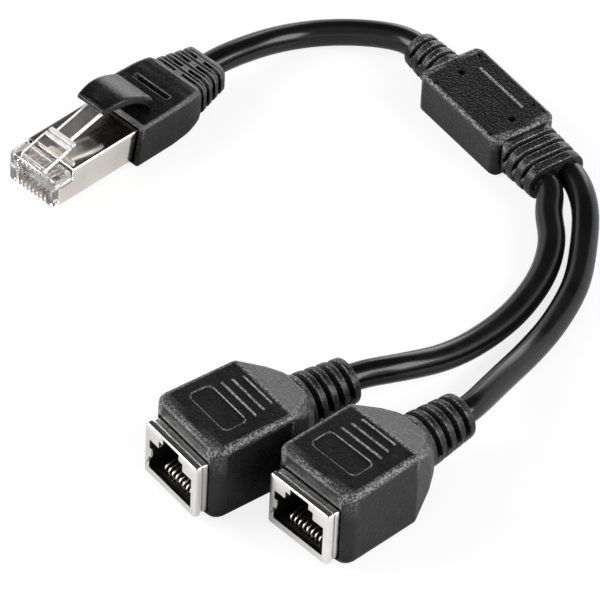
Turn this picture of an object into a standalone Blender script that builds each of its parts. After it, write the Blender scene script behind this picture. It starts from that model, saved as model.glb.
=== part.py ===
# Y splitter lead for eight-pin network sockets: one shielded plug in a hooded
# boot, a moulded splitter block and two moulded sockets on three round cables.
# Lengths are in millimetres until a mesh is made. +Z is up, z = 0 is the surface
# that the lead lies on, and the origin is under the middle of the splitter block.
import math

import bmesh
import bpy
from mathutils import Matrix, Vector

for old in list(bpy.data.objects):
    bpy.data.objects.remove(old, do_unlink=True)

mm = 0.001
gap = 0.3
pitch = 1.02
pins = 8

# Where each group lies: x, y and turn about the vertical
plug_place = (-32.9, -76.4, 7.0)
block_place = (0.0, 0.0, -2.5)
jack_places = ((43.5, -101.6, -1.2), (65.4, -91.2, 5.0))

# Cables
cable_d = 4.94
cable_step = 1.6 * cable_d
rest_z = cable_d / 2 + 0.05

# Plug, measured from the front of its nose
plug_w = 11.9
plug_low = 0.8
plug_high = 7.4
shield_wall = 0.3
shield_rear = 25.0
shield_side_front = 1.0
shield_top_front = 3.6
shield_step_z = 4.3
nose_w = 11.7
nose_low = 0.9
nose_high = 7.0
body_rear = 21.5
blade_t = 0.3
blade_slot = 0.7
blade_front = 0.45
blade_rear = 5.8
blade_high = 3.4
wire_d = 0.7
wire_z = 4.6
wire_play = 0.58
wire_rise = 0.45
body_wall = 0.65
latch_w = 7.2
shoulder_w = 7.7
tab_w = 3.9
latch_low = 6.5
tab_end = 15.3

# Boot, in the plug's own measure
boot_front = 17.9
boot_lean = 1.5
boot_rear = 34.6
boot_w = 14.6
boot_top_z = 8.65
boot_groove_l = 8.0
boot_relief_end = 42.2
boot_relief_z = 5.1
boot_ribs = 4
boot_spine_w = 1.6
hood_rear = 24.0
hood_w = 8.8
hood_z = 13.8
hood_wall = 1.4

# Splitter block
block_l = 23.4
block_w = 13.6
block_h = 8.4
block_mid_z = 4.2
block_end_wall = 3.3
block_side_wall = 2.4
feed_relief_l = 8.8
feed_relief_d = 8.4
branch_relief_l = 9.4
branch_relief_w = 12.8
branch_relief_h = 7.8
branch_spread = 5.3
block_mark_x = 7.3
block_line_y = 2.9
block_line_l = 13.0

# Socket housing, measured from its front face
jack_w = 18.2
jack_h = 16.0
jack_top_l = 16.8
taper_end = 24.0
taper_end_w = 11.2
taper_end_h = 10.8
relief_end = 34.9
relief_d_front = 10.8
relief_d_rear = 8.6
relief_z = 8.0
relief_rings = 4
jack_draft = 0.96
label_start = 4.9
label_l = 10.8
label_w = 4.8
core_bore = 3.6

# Metal face and shell of the socket
face_w = 14.7
face_h = 11.4
face_low = 1.3
face_proud = 2.6
face_rim = 1.1
shell_w = 14.3
shell_inset = 0.2
shell_wall = 0.35
shell_rear = 12.0
socket_w = 12.1
socket_low = 2.9
socket_h = 6.5
key_w = 6.8
key_h = 8.1
key_top_w = 4.5
key_top_h = 9.4
socket_depth = 9.0
insert_front = -1.9
insert_rear = 11.0
contact_d = 0.36
board_t = 1.0
board_margin = 0.6

product = bpy.data.collections.new("y_splitter_lead")
helpers = bpy.data.collections.new("cutters_and_joined_shapes")
bpy.context.scene.collection.children.link(product)
bpy.context.scene.collection.children.link(helpers)


def material(name, colour, metallic=0.0, roughness=0.5, clear=0.0):
    made = bpy.data.materials.new(name)
    made.use_nodes = True
    shader = made.node_tree.nodes["Principled BSDF"]
    shader.inputs["Base Color"].default_value = (*colour, 1.0)
    shader.inputs["Metallic"].default_value = metallic
    shader.inputs["Roughness"].default_value = roughness
    shader.inputs["Transmission Weight"].default_value = clear
    return made


black_moulding = material("black_moulding", (0.02, 0.02, 0.021), 0.0, 0.5)
black_insert = material("black_insert", (0.01, 0.01, 0.01), 0.0, 0.4)
black_cable = material("black_cable", (0.012, 0.012, 0.013), 0.0, 0.22)
nickel = material("nickel", (0.72, 0.71, 0.68), 1.0, 0.28)
clear_plastic = material("clear_plastic", (0.9, 0.93, 0.93), 0.0, 0.08, 0.9)
gold = material("gold", (0.83, 0.62, 0.25), 1.0, 0.25)
board_green = material("board_green", (0.03, 0.2, 0.08), 0.0, 0.5)
wire_colours = (
    ("white_orange", (0.85, 0.6, 0.4)),
    ("orange", (0.85, 0.3, 0.05)),
    ("white_green", (0.6, 0.8, 0.6)),
    ("blue", (0.05, 0.15, 0.6)),
    ("white_blue", (0.55, 0.65, 0.85)),
    ("green", (0.05, 0.4, 0.12)),
    ("white_brown", (0.75, 0.65, 0.55)),
    ("brown", (0.25, 0.12, 0.05)),
)
wire_materials = [material(name, colour) for name, colour in wire_colours]


def frame_at(x, y, turn, z=0.0):
    return Matrix.Translation(Vector((x, y, z)) * mm) @ Matrix.Rotation(math.radians(turn), 4, "Z")


def shift(x, y, z):
    return Matrix.Translation(Vector((x, y, z)) * mm)


def own(name, mesh, frame, coating):
    """A mesh object: a piece of the lead when it has a coating, else a helper."""
    obj = bpy.data.objects.new(name, mesh)
    obj.matrix_world = frame
    if coating:
        mesh.materials.append(coating)
        product.objects.link(obj)
    else:
        helpers.objects.link(obj)
        obj.hide_render = True
        obj.display_type = "WIRE"
    return obj


def finish(shape, name, frame, coating):
    bmesh.ops.recalc_face_normals(shape, faces=shape.faces)
    mesh = bpy.data.meshes.new(name)
    shape.to_mesh(mesh)
    shape.free()
    return own(name, mesh, frame, coating)


def cuboid(name, low, high, frame, coating=None, radius=0.0, along="Z", side=0, segments=3):
    """A box between two corners. radius rounds its edges along one axis, only those at the low
    or the high end of Y when side is -1 or 1."""
    shape = bmesh.new()
    size = [(b - a) * mm for a, b in zip(low, high)]
    middle = Vector([(a + b) / 2 for a, b in zip(low, high)]) * mm
    bmesh.ops.create_cube(
        shape,
        size=1.0,
        matrix=Matrix.Translation(middle) @ Matrix.Diagonal((*size, 1.0)),
    )
    if radius:
        axis = "XYZ".index(along)
        chosen = []
        for edge in shape.edges:
            run = edge.verts[0].co - edge.verts[1].co
            centre = (edge.verts[0].co + edge.verts[1].co) / 2 - middle
            if abs(run[axis]) > 0.9 * run.length and (not side or centre.y * side > 0):
                chosen.append(edge)
        bmesh.ops.bevel(
            shape,
            geom=chosen,
            offset=radius * mm,
            segments=segments,
            profile=0.5,
            affect="EDGES",
            clamp_overlap=True,
        )
    return finish(shape, name, frame, coating)


def rounded_section(half_w, low, high, radius, steps, place):
    """The points of a rounded rectangle across X and Z, placed by a function of (x, z)."""
    points = []
    radius = min(radius, half_w * 0.999, (high - low) / 2 * 0.999)
    corners = (
        (half_w - radius, high - radius, 0),
        (-half_w + radius, high - radius, 90),
        (-half_w + radius, low + radius, 180),
        (half_w - radius, low + radius, 270),
    )
    for x, z, start in corners:
        for step in range(steps + 1):
            angle = math.radians(start + 90 * step / steps)
            points.append(place(x + radius * math.cos(angle), z + radius * math.sin(angle)))
    return points


def lofted(name, rows, frame, coating=None, steps=4, lengthways="Y"):
    """A solid through rounded rectangles: (place, half width, low z, high z, radius) each."""
    shape = bmesh.new()
    rings = []
    for place, half_w, low, high, radius in rows:
        if lengthways == "Y":
            at = lambda x, z, y=place: Vector((x, y, z)) * mm
        else:
            at = lambda y, z, x=place: Vector((x, y, z)) * mm
        rings.append([shape.verts.new(p) for p in rounded_section(half_w, low, high, radius, steps, at)])
    count = len(rings[0])
    for first, second in zip(rings, rings[1:]):
        for i in range(count):
            j = (i + 1) % count
            shape.faces.new((first[i], first[j], second[j], second[i]))
    shape.faces.new(rings[0])
    shape.faces.new(rings[-1])
    return finish(shape, name, frame, coating)


def prism(name, outline, low_x, high_x, frame, coating=None):
    """A side outline of (y, z) points drawn out along X."""
    shape = bmesh.new()
    near = [shape.verts.new(Vector((low_x, y, z)) * mm) for y, z in outline]
    far = [shape.verts.new(Vector((high_x, y, z)) * mm) for y, z in outline]
    shape.faces.new(near)
    shape.faces.new(far)
    for i in range(len(outline)):
        j = (i + 1) % len(outline)
        shape.faces.new((near[i], near[j], far[j], far[i]))
    return finish(shape, name, frame, coating)


def turned(name, profile, frame, coating=None, steps=24):
    """A (radius, height) profile turned about Z. It runs from the top to the bottom."""
    mesh = bpy.data.meshes.new(name)
    points = [Vector((radius, 0.0, height)) * mm for radius, height in profile]
    mesh.from_pydata(points, [(i, i + 1) for i in range(len(points) - 1)], [])
    obj = own(name, mesh, frame, coating)
    screw = obj.modifiers.new("turn", "SCREW")
    screw.steps = steps
    screw.render_steps = steps
    screw.use_merge_vertices = True
    screw.merge_threshold = 0.00001
    screw.use_smooth_shade = False
    return obj


def rod(name, radius, low, high, frame, coating=None, steps=16):
    return turned(name, [(0.0, high), (radius, high), (radius, low), (0.0, low)], frame, coating, steps)


def bevelled(obj, width, segments=2, angle=40):
    bevel = obj.modifiers.new("edges", "BEVEL")
    bevel.width = width * mm
    bevel.segments = segments
    bevel.limit_method = "ANGLE"
    bevel.angle_limit = math.radians(angle)
    return obj


def joined(obj, *others):
    for other in others:
        step = obj.modifiers.new("join " + other.name, "BOOLEAN")
        step.operation = "UNION"
        step.solver = "EXACT"
        step.object = other
    return obj


def cut(obj, *others):
    for other in others:
        step = obj.modifiers.new("cut " + other.name, "BOOLEAN")
        step.operation = "DIFFERENCE"
        step.solver = "EXACT"
        step.object = other
    return obj


def strand(name, points, diameter, frame, coating, sides):
    curve = bpy.data.curves.new(name, "CURVE")
    curve.dimensions = "3D"
    curve.bevel_depth = diameter / 2 * mm
    curve.bevel_resolution = sides
    curve.use_fill_caps = True
    spline = curve.splines.new("POLY")
    spline.points.add(len(points) - 1)
    for point, place in zip(spline.points, points):
        point.co = (*(Vector(place) * mm), 1.0)
    curve.materials.append(coating)
    obj = bpy.data.objects.new(name, curve)
    obj.matrix_world = frame
    product.objects.link(obj)
    return obj


along_y = Matrix.Rotation(math.radians(-90), 4, "X")
along_x = Matrix.Rotation(math.radians(90), 4, "Y")
pin_places = [(i - (pins - 1) / 2) * pitch for i in range(pins)]


def ring_profile(start, end, r_start, r_end, rings, groove, bury):
    """A relief turned from its far end down to its root, with a groove before each ring."""
    step = (end - start) / (rings + 0.45)
    radius = lambda place: r_start + (r_end - r_start) * (place - start) / (end - start)
    profile = [(0.0, end), (radius(end) - 0.35, end), (radius(end), end - 0.4)]
    for i in range(rings, 0, -1):
        front = start + step * (i - 0.55)
        back = start + step * i
        if i < rings:
            profile.append((radius(back + 0.0), back))
        profile.append((radius(front + step * 0.45) + 0.05, front + step * 0.45))
        profile.append((radius(front) - groove, front + step * 0.4))
        profile.append((radius(front) - groove, front + step * 0.02))
        profile.append((radius(front), front - step * 0.03))
    profile.append((radius(start), start))
    profile.append((radius(start), start - bury))
    profile.append((0.0, start - bury))
    return profile


# Plug
plug = frame_at(*plug_place)
half = plug_w / 2

plug_shield = cuboid(
    "plug_shield",
    (-half, shield_side_front, plug_low),
    (half, shield_rear, plug_high),
    plug,
    nickel,
    radius=0.5,
    along="Y",
    segments=2,
)
inner = half - shield_wall
blade_opening = pin_places[-1] + blade_slot / 2 + 0.68
cut(
    plug_shield,
    cuboid(
        "shield_bore",
        (-inner, 0.0, plug_low + shield_wall),
        (inner, shield_rear + 1, plug_high - shield_wall),
        plug,
    ),
    cuboid(
        "shield_top_cut",
        (-half - 1, 0.0, shield_step_z),
        (half + 1, shield_top_front, plug_high + 1),
        plug,
        radius=0.9,
        along="X",
        side=1,
    ),
    cuboid(
        "shield_latch_cut",
        (-shoulder_w / 2 - gap, 0.0, latch_low - gap),
        (shoulder_w / 2 + gap, 8.6, plug_high + 1),
        plug,
    ),
    cuboid(
        "shield_blade_cut",
        (-blade_opening, 0.0, 0.0),
        (blade_opening, 7.0, plug_low + 1),
        plug,
    ),
)

nose = nose_w / 2
core = inner - gap
wire_room = pin_places[-1] + wire_d / 2 + wire_play
wire_tall = wire_d / 2 + wire_rise
loading_room = core - body_wall
plug_body = cuboid(
    "plug_body",
    (-nose, 0.0, nose_low),
    (nose, 0.7, nose_high),
    plug,
    clear_plastic,
    radius=0.35,
    along="X",
    side=-1,
    segments=2,
)
latch_front = prism(
    "latch_front",
    [
        (0.7, latch_low),
        (0.7, 7.3),
        (2.0, 7.7),
        (6.4, 9.0),
        (7.9, 9.4),
        (7.9, 8.6),
        (6.4, 8.2),
        (2.6, 6.9),
        (2.4, latch_low),
    ],
    -latch_w / 2,
    latch_w / 2,
    plug,
)
latch_shoulder = prism(
    "latch_shoulder",
    [(6.1, 8.15), (6.1, 9.2), (8.1, 9.7), (8.1, 8.5)],
    -shoulder_w / 2,
    shoulder_w / 2,
    plug,
)
latch_tab = prism(
    "latch_tab",
    [(7.0, 8.5), (7.0, 9.25), (tab_end, 11.7), (tab_end + 0.3, 11.5), (tab_end + 0.3, 11.0)],
    -tab_w / 2,
    tab_w / 2,
    plug,
)
latch_rails = [
    prism(
        f"latch_rail_{i}",
        [(7.6, 8.8), (7.6, 9.75), (tab_end - 0.5, 11.85), (tab_end - 0.1, 11.2)],
        x - 0.3,
        x + 0.3,
        plug,
    )
    for i, x in enumerate((-tab_w / 2 + 0.25, tab_w / 2 - 0.25))
]
joined(
    plug_body,
    cuboid(
        "nose_upper",
        (-nose, 0.3, shield_step_z + 0.15),
        (nose, shield_top_front - gap, nose_high - 0.05),
        plug,
        radius=0.9,
        along="X",
        side=1,
    ),
    cuboid(
        "body_core",
        (-core, 0.35, plug_low + shield_wall + gap),
        (core, body_rear, plug_high - shield_wall - gap - 0.2),
        plug,
    ),
    latch_front,
    latch_shoulder,
    latch_tab,
    *latch_rails,
)
slots = [
    cuboid(
        f"blade_slot_{i + 1}",
        (x - blade_slot / 2, -1.0, 0.0),
        (x + blade_slot / 2, blade_rear + gap, wire_z - 0.7),
        plug,
    )
    for i, x in enumerate(pin_places)
]
cut(
    plug_body,
    *slots,
    cuboid(
        "wire_space",
        (-wire_room, 1.2, wire_z - wire_tall),
        (wire_room, body_rear + 1, wire_z + wire_tall),
        plug,
    ),
    cuboid(
        "loading_space",
        (-loading_room, 11.5, 2.2),
        (loading_room, body_rear + 1, 6.4),
        plug,
    ),
)
for i, x in enumerate(pin_places):
    cuboid(
        f"plug_contact_{i + 1}",
        (x - blade_t / 2, blade_front, nose_low + 0.3),
        (x + blade_t / 2, blade_rear, blade_high),
        plug,
        gold,
        radius=0.25,
        along="X",
        side=-1,
        segments=2,
    )
    rod(
        f"plug_wire_{i + 1}",
        wire_d / 2,
        1.5,
        27.0,
        plug @ shift(x, 0, wire_z) @ along_y,
        wire_materials[i],
        steps=8,
    )
bar_half = loading_room - gap - 0.1
cuboid(
    "plug_load_bar",
    (-bar_half, 12.6, wire_z + wire_d / 2 + gap),
    (bar_half, 16.0, 6.1),
    plug,
    clear_plastic,
)

# Boot
side = boot_w / 2
plug_boot = lofted(
    "plug_boot",
    [
        (boot_front, side, 0.0, boot_top_z, 0.45),
        (27.0, side, 0.0, boot_top_z, 0.5),
        (31.0, side - 0.15, 0.3, boot_top_z, 0.6),
        (boot_rear - 1.2, side - 0.45, 1.0, boot_top_z - 0.1, 0.8),
        (boot_rear, side - 1.0, 1.5, boot_top_z - 0.3, 1.0),
    ],
    plug,
    black_moulding,
    steps=2,
)
boot_face = prism(
    "boot_face",
    [
        (boot_front - 1, 0.6),
        (boot_front + 0.05, 0.75),
        (boot_front + boot_lean, boot_top_z),
        (boot_front + boot_lean, boot_top_z + 2),
        (boot_front - 1, boot_top_z + 2),
    ],
    -side - 1,
    side + 1,
    plug,
)
hood = lofted(
    "boot_hood",
    [
        (hood_rear + 0.3, hood_w / 2, boot_top_z - 1.0, hood_z - 2.3, 0.7),
        (hood_rear - 0.4, hood_w / 2, boot_top_z - 0.8, hood_z - 1.8, 1.0),
        (22.2, hood_w / 2, boot_top_z - 0.4, hood_z - 0.9, 1.7),
        (19.2, hood_w / 2 - 0.1, boot_top_z, hood_z - 0.1, 2.0),
        (17.0, hood_w / 2 - 0.3, 9.6, hood_z, 2.0),
        (15.2, hood_w / 2 - 0.6, 10.4, hood_z - 0.25, 1.7),
        (14.0, hood_w / 2 - 0.9, 11.0, hood_z - 0.6, 1.1),
        (13.4, hood_w / 2 - 1.3, 11.5, hood_z - 1.1, 0.5),
    ],
    plug,
    steps=4,
)
hood_space = lofted(
    "hood_space",
    [
        (12.0, 2.3, 8.0, hood_z - hood_wall - 0.5, 0.6),
        (16.2, 2.9, 8.0, hood_z - hood_wall - 0.1, 1.0),
        (19.0, 3.1, 8.0, hood_z - hood_wall, 1.2),
        (22.4, 3.1, 8.0, hood_z - 2.5, 1.0),
    ],
    plug,
    steps=2,
)
hood_arch = rod("hood_arch", 2.6, -9.0, 9.0, plug @ shift(0, 20.2, 9.2) @ along_x, steps=20)
relief_core = lofted(
    "boot_relief_core",
    [
        (boot_rear - 1.0, 5.3, 2.0, boot_top_z - 1.2, 1.6),
        (boot_relief_end - 1.2, 3.6, 2.3, boot_top_z - 1.6, 1.9),
        (boot_relief_end, 3.4, 2.4, boot_top_z - 1.7, 1.9),
    ],
    plug,
    steps=3,
)
rib_step = (boot_relief_end - boot_rear) / (boot_ribs + 0.1)
ribs = []
for i in range(boot_ribs):
    start = boot_rear + 0.75 + rib_step * i
    share = (i + 0.5) / boot_ribs
    rib_half = side - 0.8 - 1.7 * share
    rib_low = 1.3 + 0.6 * share
    rib_high = boot_top_z - 0.4 - 0.4 * share
    rows = [
        (start, rib_half + 0.05, rib_low, rib_high, 1.5),
        (start + rib_step * 0.55, rib_half - 0.2, rib_low + 0.1, rib_high - 0.05, 1.5),
    ]
    ribs.append(lofted(f"boot_rib_{i + 1}", rows, plug, steps=3))
spine = prism(
    "boot_spine",
    [
        (boot_rear - 1.0, 7.0),
        (boot_rear - 1.0, boot_top_z - 0.3),
        (boot_relief_end - 0.2, boot_top_z - 0.85),
        (boot_relief_end - 0.2, 6.0),
    ],
    -boot_spine_w / 2,
    boot_spine_w / 2,
    plug,
)
keel = prism(
    "boot_keel",
    [
        (boot_rear - 1.0, 1.5),
        (boot_rear - 1.0, 3.0),
        (boot_relief_end - 0.2, 4.0),
        (boot_relief_end - 0.2, 2.1),
    ],
    -boot_spine_w / 2,
    boot_spine_w / 2,
    plug,
)
cut(plug_boot, boot_face)
joined(plug_boot, hood)
cut(
    plug_boot,
    hood_space,
    hood_arch,
    cuboid(
        "boot_pocket",
        (-half - gap, boot_front - 1, plug_low - gap),
        (half + gap, 27.4, plug_high + gap),
        plug,
    ),
    cuboid(
        "boot_top_groove",
        (-boot_groove_l / 2, 28.0, boot_top_z - 0.6),
        (boot_groove_l / 2, 28.9, boot_top_z + 1),
        plug,
    ),
)
joined(plug_boot, relief_core, *ribs, spine, keel)
cut(
    plug_boot,
    rod("boot_bore", core_bore / 2, 27.0, boot_relief_end + 1, plug @ shift(0, 0, boot_relief_z) @ along_y),
)

# Splitter block
block = frame_at(*block_place)
block_half = block_l / 2
space_x = block_half - block_end_wall
space_y = block_w / 2 - block_side_wall
splitter_block = bevelled(
    cuboid(
        "splitter_block",
        (-block_half, -block_w / 2, 0.0),
        (block_half, block_w / 2, block_h),
        block,
        black_moulding,
        radius=1.6,
        segments=3,
    ),
    0.55,
)
feed_relief = turned(
    "feed_relief",
    ring_profile(0.0, feed_relief_l, feed_relief_d / 2, feed_relief_d / 2 - 0.7, 3, 0.8, 1.0),
    block @ shift(-block_half, 0, block_mid_z) @ Matrix.Rotation(math.radians(-90), 4, "Y"),
)
feed_webs = [
    cuboid(
        f"feed_web_{i}",
        (-block_half - feed_relief_l + 0.4, low, block_mid_z - 0.8),
        (-block_half + 0.6, high, block_mid_z + 0.8),
        block,
    )
    for i, (low, high) in enumerate(((-feed_relief_d / 2 + 0.5, -2.4), (2.4, feed_relief_d / 2 - 0.5)))
]
core_h = branch_relief_h / 2 - 0.8
oval_rows = [
    (
        block_half - 1.0,
        branch_relief_w / 2 - 0.9,
        block_mid_z - core_h,
        block_mid_z + core_h,
        core_h - 0.05,
    ),
    (
        block_half + branch_relief_l,
        branch_relief_w / 2 - 1.1,
        block_mid_z - core_h + 0.15,
        block_mid_z + core_h - 0.15,
        core_h - 0.2,
    ),
]
oval_core = lofted("branch_relief_core", oval_rows, block, steps=4, lengthways="X")
oval_rings = []
for i in range(4):
    start = block_half + (-0.8, 2.6, 5.2, 7.8)[i]
    end = block_half + (1.7, 4.3, 6.9, branch_relief_l + 0.2)[i]
    shrink = 0.1 * i
    half_w = branch_relief_w / 2 - shrink
    half_h = branch_relief_h / 2 - shrink
    rows = [
        (start, half_w, block_mid_z - half_h, block_mid_z + half_h, half_h - 0.1),
        (end - 0.35, half_w, block_mid_z - half_h, block_mid_z + half_h, half_h - 0.1),
        (end, half_w - 0.3, block_mid_z - half_h + 0.3, block_mid_z + half_h - 0.3, half_h - 0.4),
    ]
    oval_rings.append(lofted(f"branch_ring_{i + 1}", rows, block, steps=5, lengthways="X"))
oval_webs = [
    cuboid(
        f"branch_web_{i}",
        (block_half - 0.5, low, block_mid_z - 0.8),
        (block_half + branch_relief_l - 0.4, high, block_mid_z + 0.8),
        block,
    )
    for i, (low, high) in enumerate(((-branch_relief_w / 2 + 0.5, -4.0), (4.0, branch_relief_w / 2 - 0.5)))
]
line_half = block_line_l / 2
top_line = cuboid(
    "block_line",
    (-line_half, block_line_y, block_h - 0.5),
    (line_half, block_line_y + 0.4, block_h + 0.25),
    block,
)
joined(splitter_block, feed_relief, *feed_webs, oval_core, *oval_rings, *oval_webs, top_line)
pin_marks = [
    rod(f"pin_mark_{i}", r, block_h - deep, block_h + 1, block @ shift(x, y, 0), steps=12)
    for i, (x, y, r, deep) in enumerate(
        (
            (-block_mark_x, -0.4, 0.65, 1.2),
            (block_mark_x + 0.7, -0.4, 0.65, 1.2),
            (-block_half + 2.3, block_w / 2 - 1.6, 0.42, 0.5),
            (-block_half + 4.2, -block_w / 2 + 1.1, 0.42, 0.5),
            (block_half - 4.8, block_w / 2 - 1.5, 0.42, 0.5),
            (block_half - 2.6, -block_w / 2 + 1.0, 0.42, 0.5),
        )
    )
]
cut(
    splitter_block,
    *pin_marks,
    cuboid(
        "splice_space",
        (-space_x, -space_y, block_side_wall),
        (space_x, space_y, block_h - block_side_wall),
        block,
    ),
    rod(
        "feed_bore",
        core_bore / 2,
        space_x - 1,
        block_half + feed_relief_l + 1,
        block @ shift(0, 0, block_mid_z) @ Matrix.Rotation(math.radians(-90), 4, "Y"),
    ),
    *[
        rod(
            f"branch_bore_{i}",
            core_bore / 2,
            space_x - 1,
            block_half + branch_relief_l + 1,
            block @ shift(0, y, block_mid_z) @ along_x,
        )
        for i, y in enumerate((-branch_spread / 2, branch_spread / 2))
    ],
)
cuboid(
    "splice_board",
    (-space_x + board_margin, -space_y + board_margin, block_mid_z - board_t / 2),
    (space_x - board_margin, space_y - board_margin, block_mid_z + board_t / 2),
    block,
    board_green,
)


# Sockets
def stepped_opening(name, front, rear, top, frame):
    """The plug's opening, which widens downwards in three steps, as one outline drawn along Y."""
    levels = ((socket_w / 2, socket_h), (key_w / 2, key_h), (key_top_w / 2, top))
    right = [(levels[0][0], 0.0)]
    for i, (half_w, height) in enumerate(levels):
        right.append((half_w, height))
        if i < 2:
            right.append((levels[i + 1][0], height))
    outline = right + [(-x, z) for x, z in reversed(right)]
    shape = bmesh.new()
    near = [shape.verts.new(Vector((x, front, z + socket_low)) * mm) for x, z in outline]
    far = [shape.verts.new(Vector((x, rear, z + socket_low)) * mm) for x, z in outline]
    shape.faces.new(near)
    shape.faces.new(far)
    for i in range(len(outline)):
        j = (i + 1) % len(outline)
        shape.faces.new((near[i], near[j], far[j], far[i]))
    return finish(shape, name, frame, None)


def make_jack(index, place):
    jack = frame_at(*place)
    tag = f"jack_{index}"
    half_w = jack_w / 2
    housing = cuboid(
        f"{tag}_housing",
        (-half_w, 0.0, 0.0),
        (half_w, jack_top_l, jack_h),
        jack,
        black_moulding,
        radius=2.4,
        side=-1,
        segments=4,
    )
    for vertex in housing.data.vertices:
        vertex.co.x *= 1 - (1 - jack_draft) * vertex.co.y / (jack_top_l * mm)
    bevelled(housing, 0.8)
    middle = relief_z
    rear_half = half_w * jack_draft
    taper = lofted(
        f"{tag}_taper",
        [
            (jack_top_l - 1.4, rear_half - 1.0, 1.0, jack_h - 1.0, 0.8),
            (jack_top_l - 0.02, rear_half - 0.06, 0.06, jack_h - 0.06, 0.8),
            (taper_end - 2.4, (rear_half + taper_end_w) / 3 + 0.2, 1.9, jack_h - 1.9, 2.4),
            (
                taper_end - 0.5,
                taper_end_w / 2 + 0.2,
                middle - taper_end_h / 2,
                middle + taper_end_h / 2,
                3.6,
            ),
            (
                taper_end,
                taper_end_w / 2 - 0.4,
                middle - taper_end_h / 2 + 0.5,
                middle + taper_end_h / 2 - 0.5,
                3.4,
            ),
        ],
        jack,
        steps=4,
    )
    relief = turned(
        f"{tag}_relief",
        ring_profile(taper_end, relief_end, relief_d_front / 2, relief_d_rear / 2, relief_rings, 0.95, 1.0),
        jack @ shift(0, 0, middle) @ along_y,
    )
    webs = []
    for i, way in enumerate((-1, 1)):
        outline = [
            (taper_end - 0.6, middle - 0.9),
            (taper_end - 0.6, middle + 0.9),
            (relief_end - 0.5, middle + 0.9),
            (relief_end - 0.5, middle - 0.9),
        ]
        near = sorted((way * 2.4, way * (relief_d_rear / 2 - 0.1)))
        webs.append(prism(f"{tag}_web_{i}", outline, near[0], near[1], jack))
    label_half = label_l / 2
    lines = [
        cuboid(
            f"{tag}_line_{i}",
            (-label_half + 0.4 * (i + 1), jack_top_l - y - 0.22, jack_h - 0.5),
            (label_half - 0.4 * (i + 1), jack_top_l - y + 0.22, jack_h + 0.3),
            jack,
        )
        for i, y in enumerate((5.3, 3.3, 1.3))
    ]
    joined(housing, taper, relief, *webs, *lines)
    shell_low = face_low + shell_inset
    shell_high = face_low + face_h - shell_inset
    shell_half = shell_w / 2
    cut(
        housing,
        cuboid(
            f"{tag}_pocket",
            (-shell_half - gap, -1.0, shell_low - gap),
            (shell_half + gap, 13.4, shell_high + gap),
            jack,
        ),
        cuboid(
            f"{tag}_label_place",
            (-label_half - 0.3, label_start, jack_h - 0.2),
            (label_half - 0.3, label_start + label_w, jack_h + 1),
            jack,
            radius=1.2,
            segments=2,
        ),
        rod(f"{tag}_bore", core_bore / 2, 12.0, relief_end + 1, jack @ shift(0, 0, middle) @ along_y),
    )

    shield = cuboid(
        f"{tag}_shield",
        (-face_w / 2, -face_proud, face_low),
        (face_w / 2, -face_proud + face_rim, face_low + face_h),
        jack,
        nickel,
        radius=0.35,
        along="Y",
        segments=2,
    )
    joined(
        shield,
        cuboid(
            f"{tag}_shell",
            (-shell_half, -face_proud + 0.4, shell_low),
            (shell_half, shell_rear, shell_high),
            jack,
        ),
    )
    cut(
        shield,
        cuboid(
            f"{tag}_shell_space",
            (-shell_half + shell_wall, -face_proud + 0.4, shell_low + shell_wall),
            (shell_half - shell_wall, shell_rear + 1, shell_high - shell_wall),
            jack,
        ),
        stepped_opening(f"{tag}_face_opening", -face_proud - 1, -face_proud + 0.45, key_top_h, jack),
    )

    insert_half = shell_half - shell_wall - gap
    insert_low = shell_low + shell_wall + gap
    insert_high = shell_high - shell_wall - gap
    insert = cuboid(
        f"{tag}_insert",
        (-insert_half, insert_front, insert_low),
        (insert_half, insert_rear, insert_high),
        jack,
        black_insert,
    )
    cut(
        insert,
        stepped_opening(f"{tag}_socket_space", insert_front - 1, socket_depth, key_top_h + 2, jack),
        cuboid(
            f"{tag}_contact_space",
            (pin_places[0] - 0.5, -1.2, 1.0),
            (pin_places[-1] + 0.5, insert_rear + 1, socket_low + 0.1),
            jack,
        ),
    )
    board_front = insert_rear + 0.5
    board_half = insert_half
    cuboid(
        f"{tag}_board",
        (-board_half, board_front, shell_low + board_margin),
        (board_half, board_front + board_t, shell_high - board_margin),
        jack,
        board_green,
    )
    route = [
        (board_front - gap, 2.5),
        (0.1, 2.5),
        (-0.6, 2.8),
        (-0.9, 3.5),
        (-0.6, 4.1),
        (0.4, 4.4),
        (8.3, 5.9),
    ]
    for i, x in enumerate(pin_places):
        strand(f"{tag}_contact_{i + 1}", [(x, y, z) for y, z in route], contact_d, jack, gold, 0)


for number, jack_place in enumerate(jack_places, 1):
    make_jack(number, jack_place)


# Cables, each through its own points, read off at even steps
def smooth_route(points, step):
    """Points at even steps along the rounded curve through the given points. The first and the
    last stretch stay straight, so that the cable leaves its mouldings squarely."""
    places = [Vector(p) for p in points]
    fine = []
    for before, start, end, after in zip(places, places[1:], places[2:], places[3:]):
        for i in range(24):
            t = i / 24
            bend = (2 * start + (end - before) * t) + (2 * before - 5 * start + 4 * end - after) * t * t
            fine.append((bend + (3 * start - before - 3 * end + after) * t * t * t) / 2)
    fine.append(places[-2])
    lengths = [(b - a).length for a, b in zip(fine, fine[1:])]
    count = max(2, round(sum(lengths) / step))
    even = [fine[0]]
    run = 0.0
    for place, length in zip(fine[1:], lengths):
        run += length
        if run >= sum(lengths) * len(even) / count and len(even) < count:
            even.append(place)
    return [places[0], *even, fine[-1], places[-1]]


def exit_point(frame, x, y, z):
    return tuple(frame @ (Vector((x, y, z)) * mm) / mm)


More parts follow.
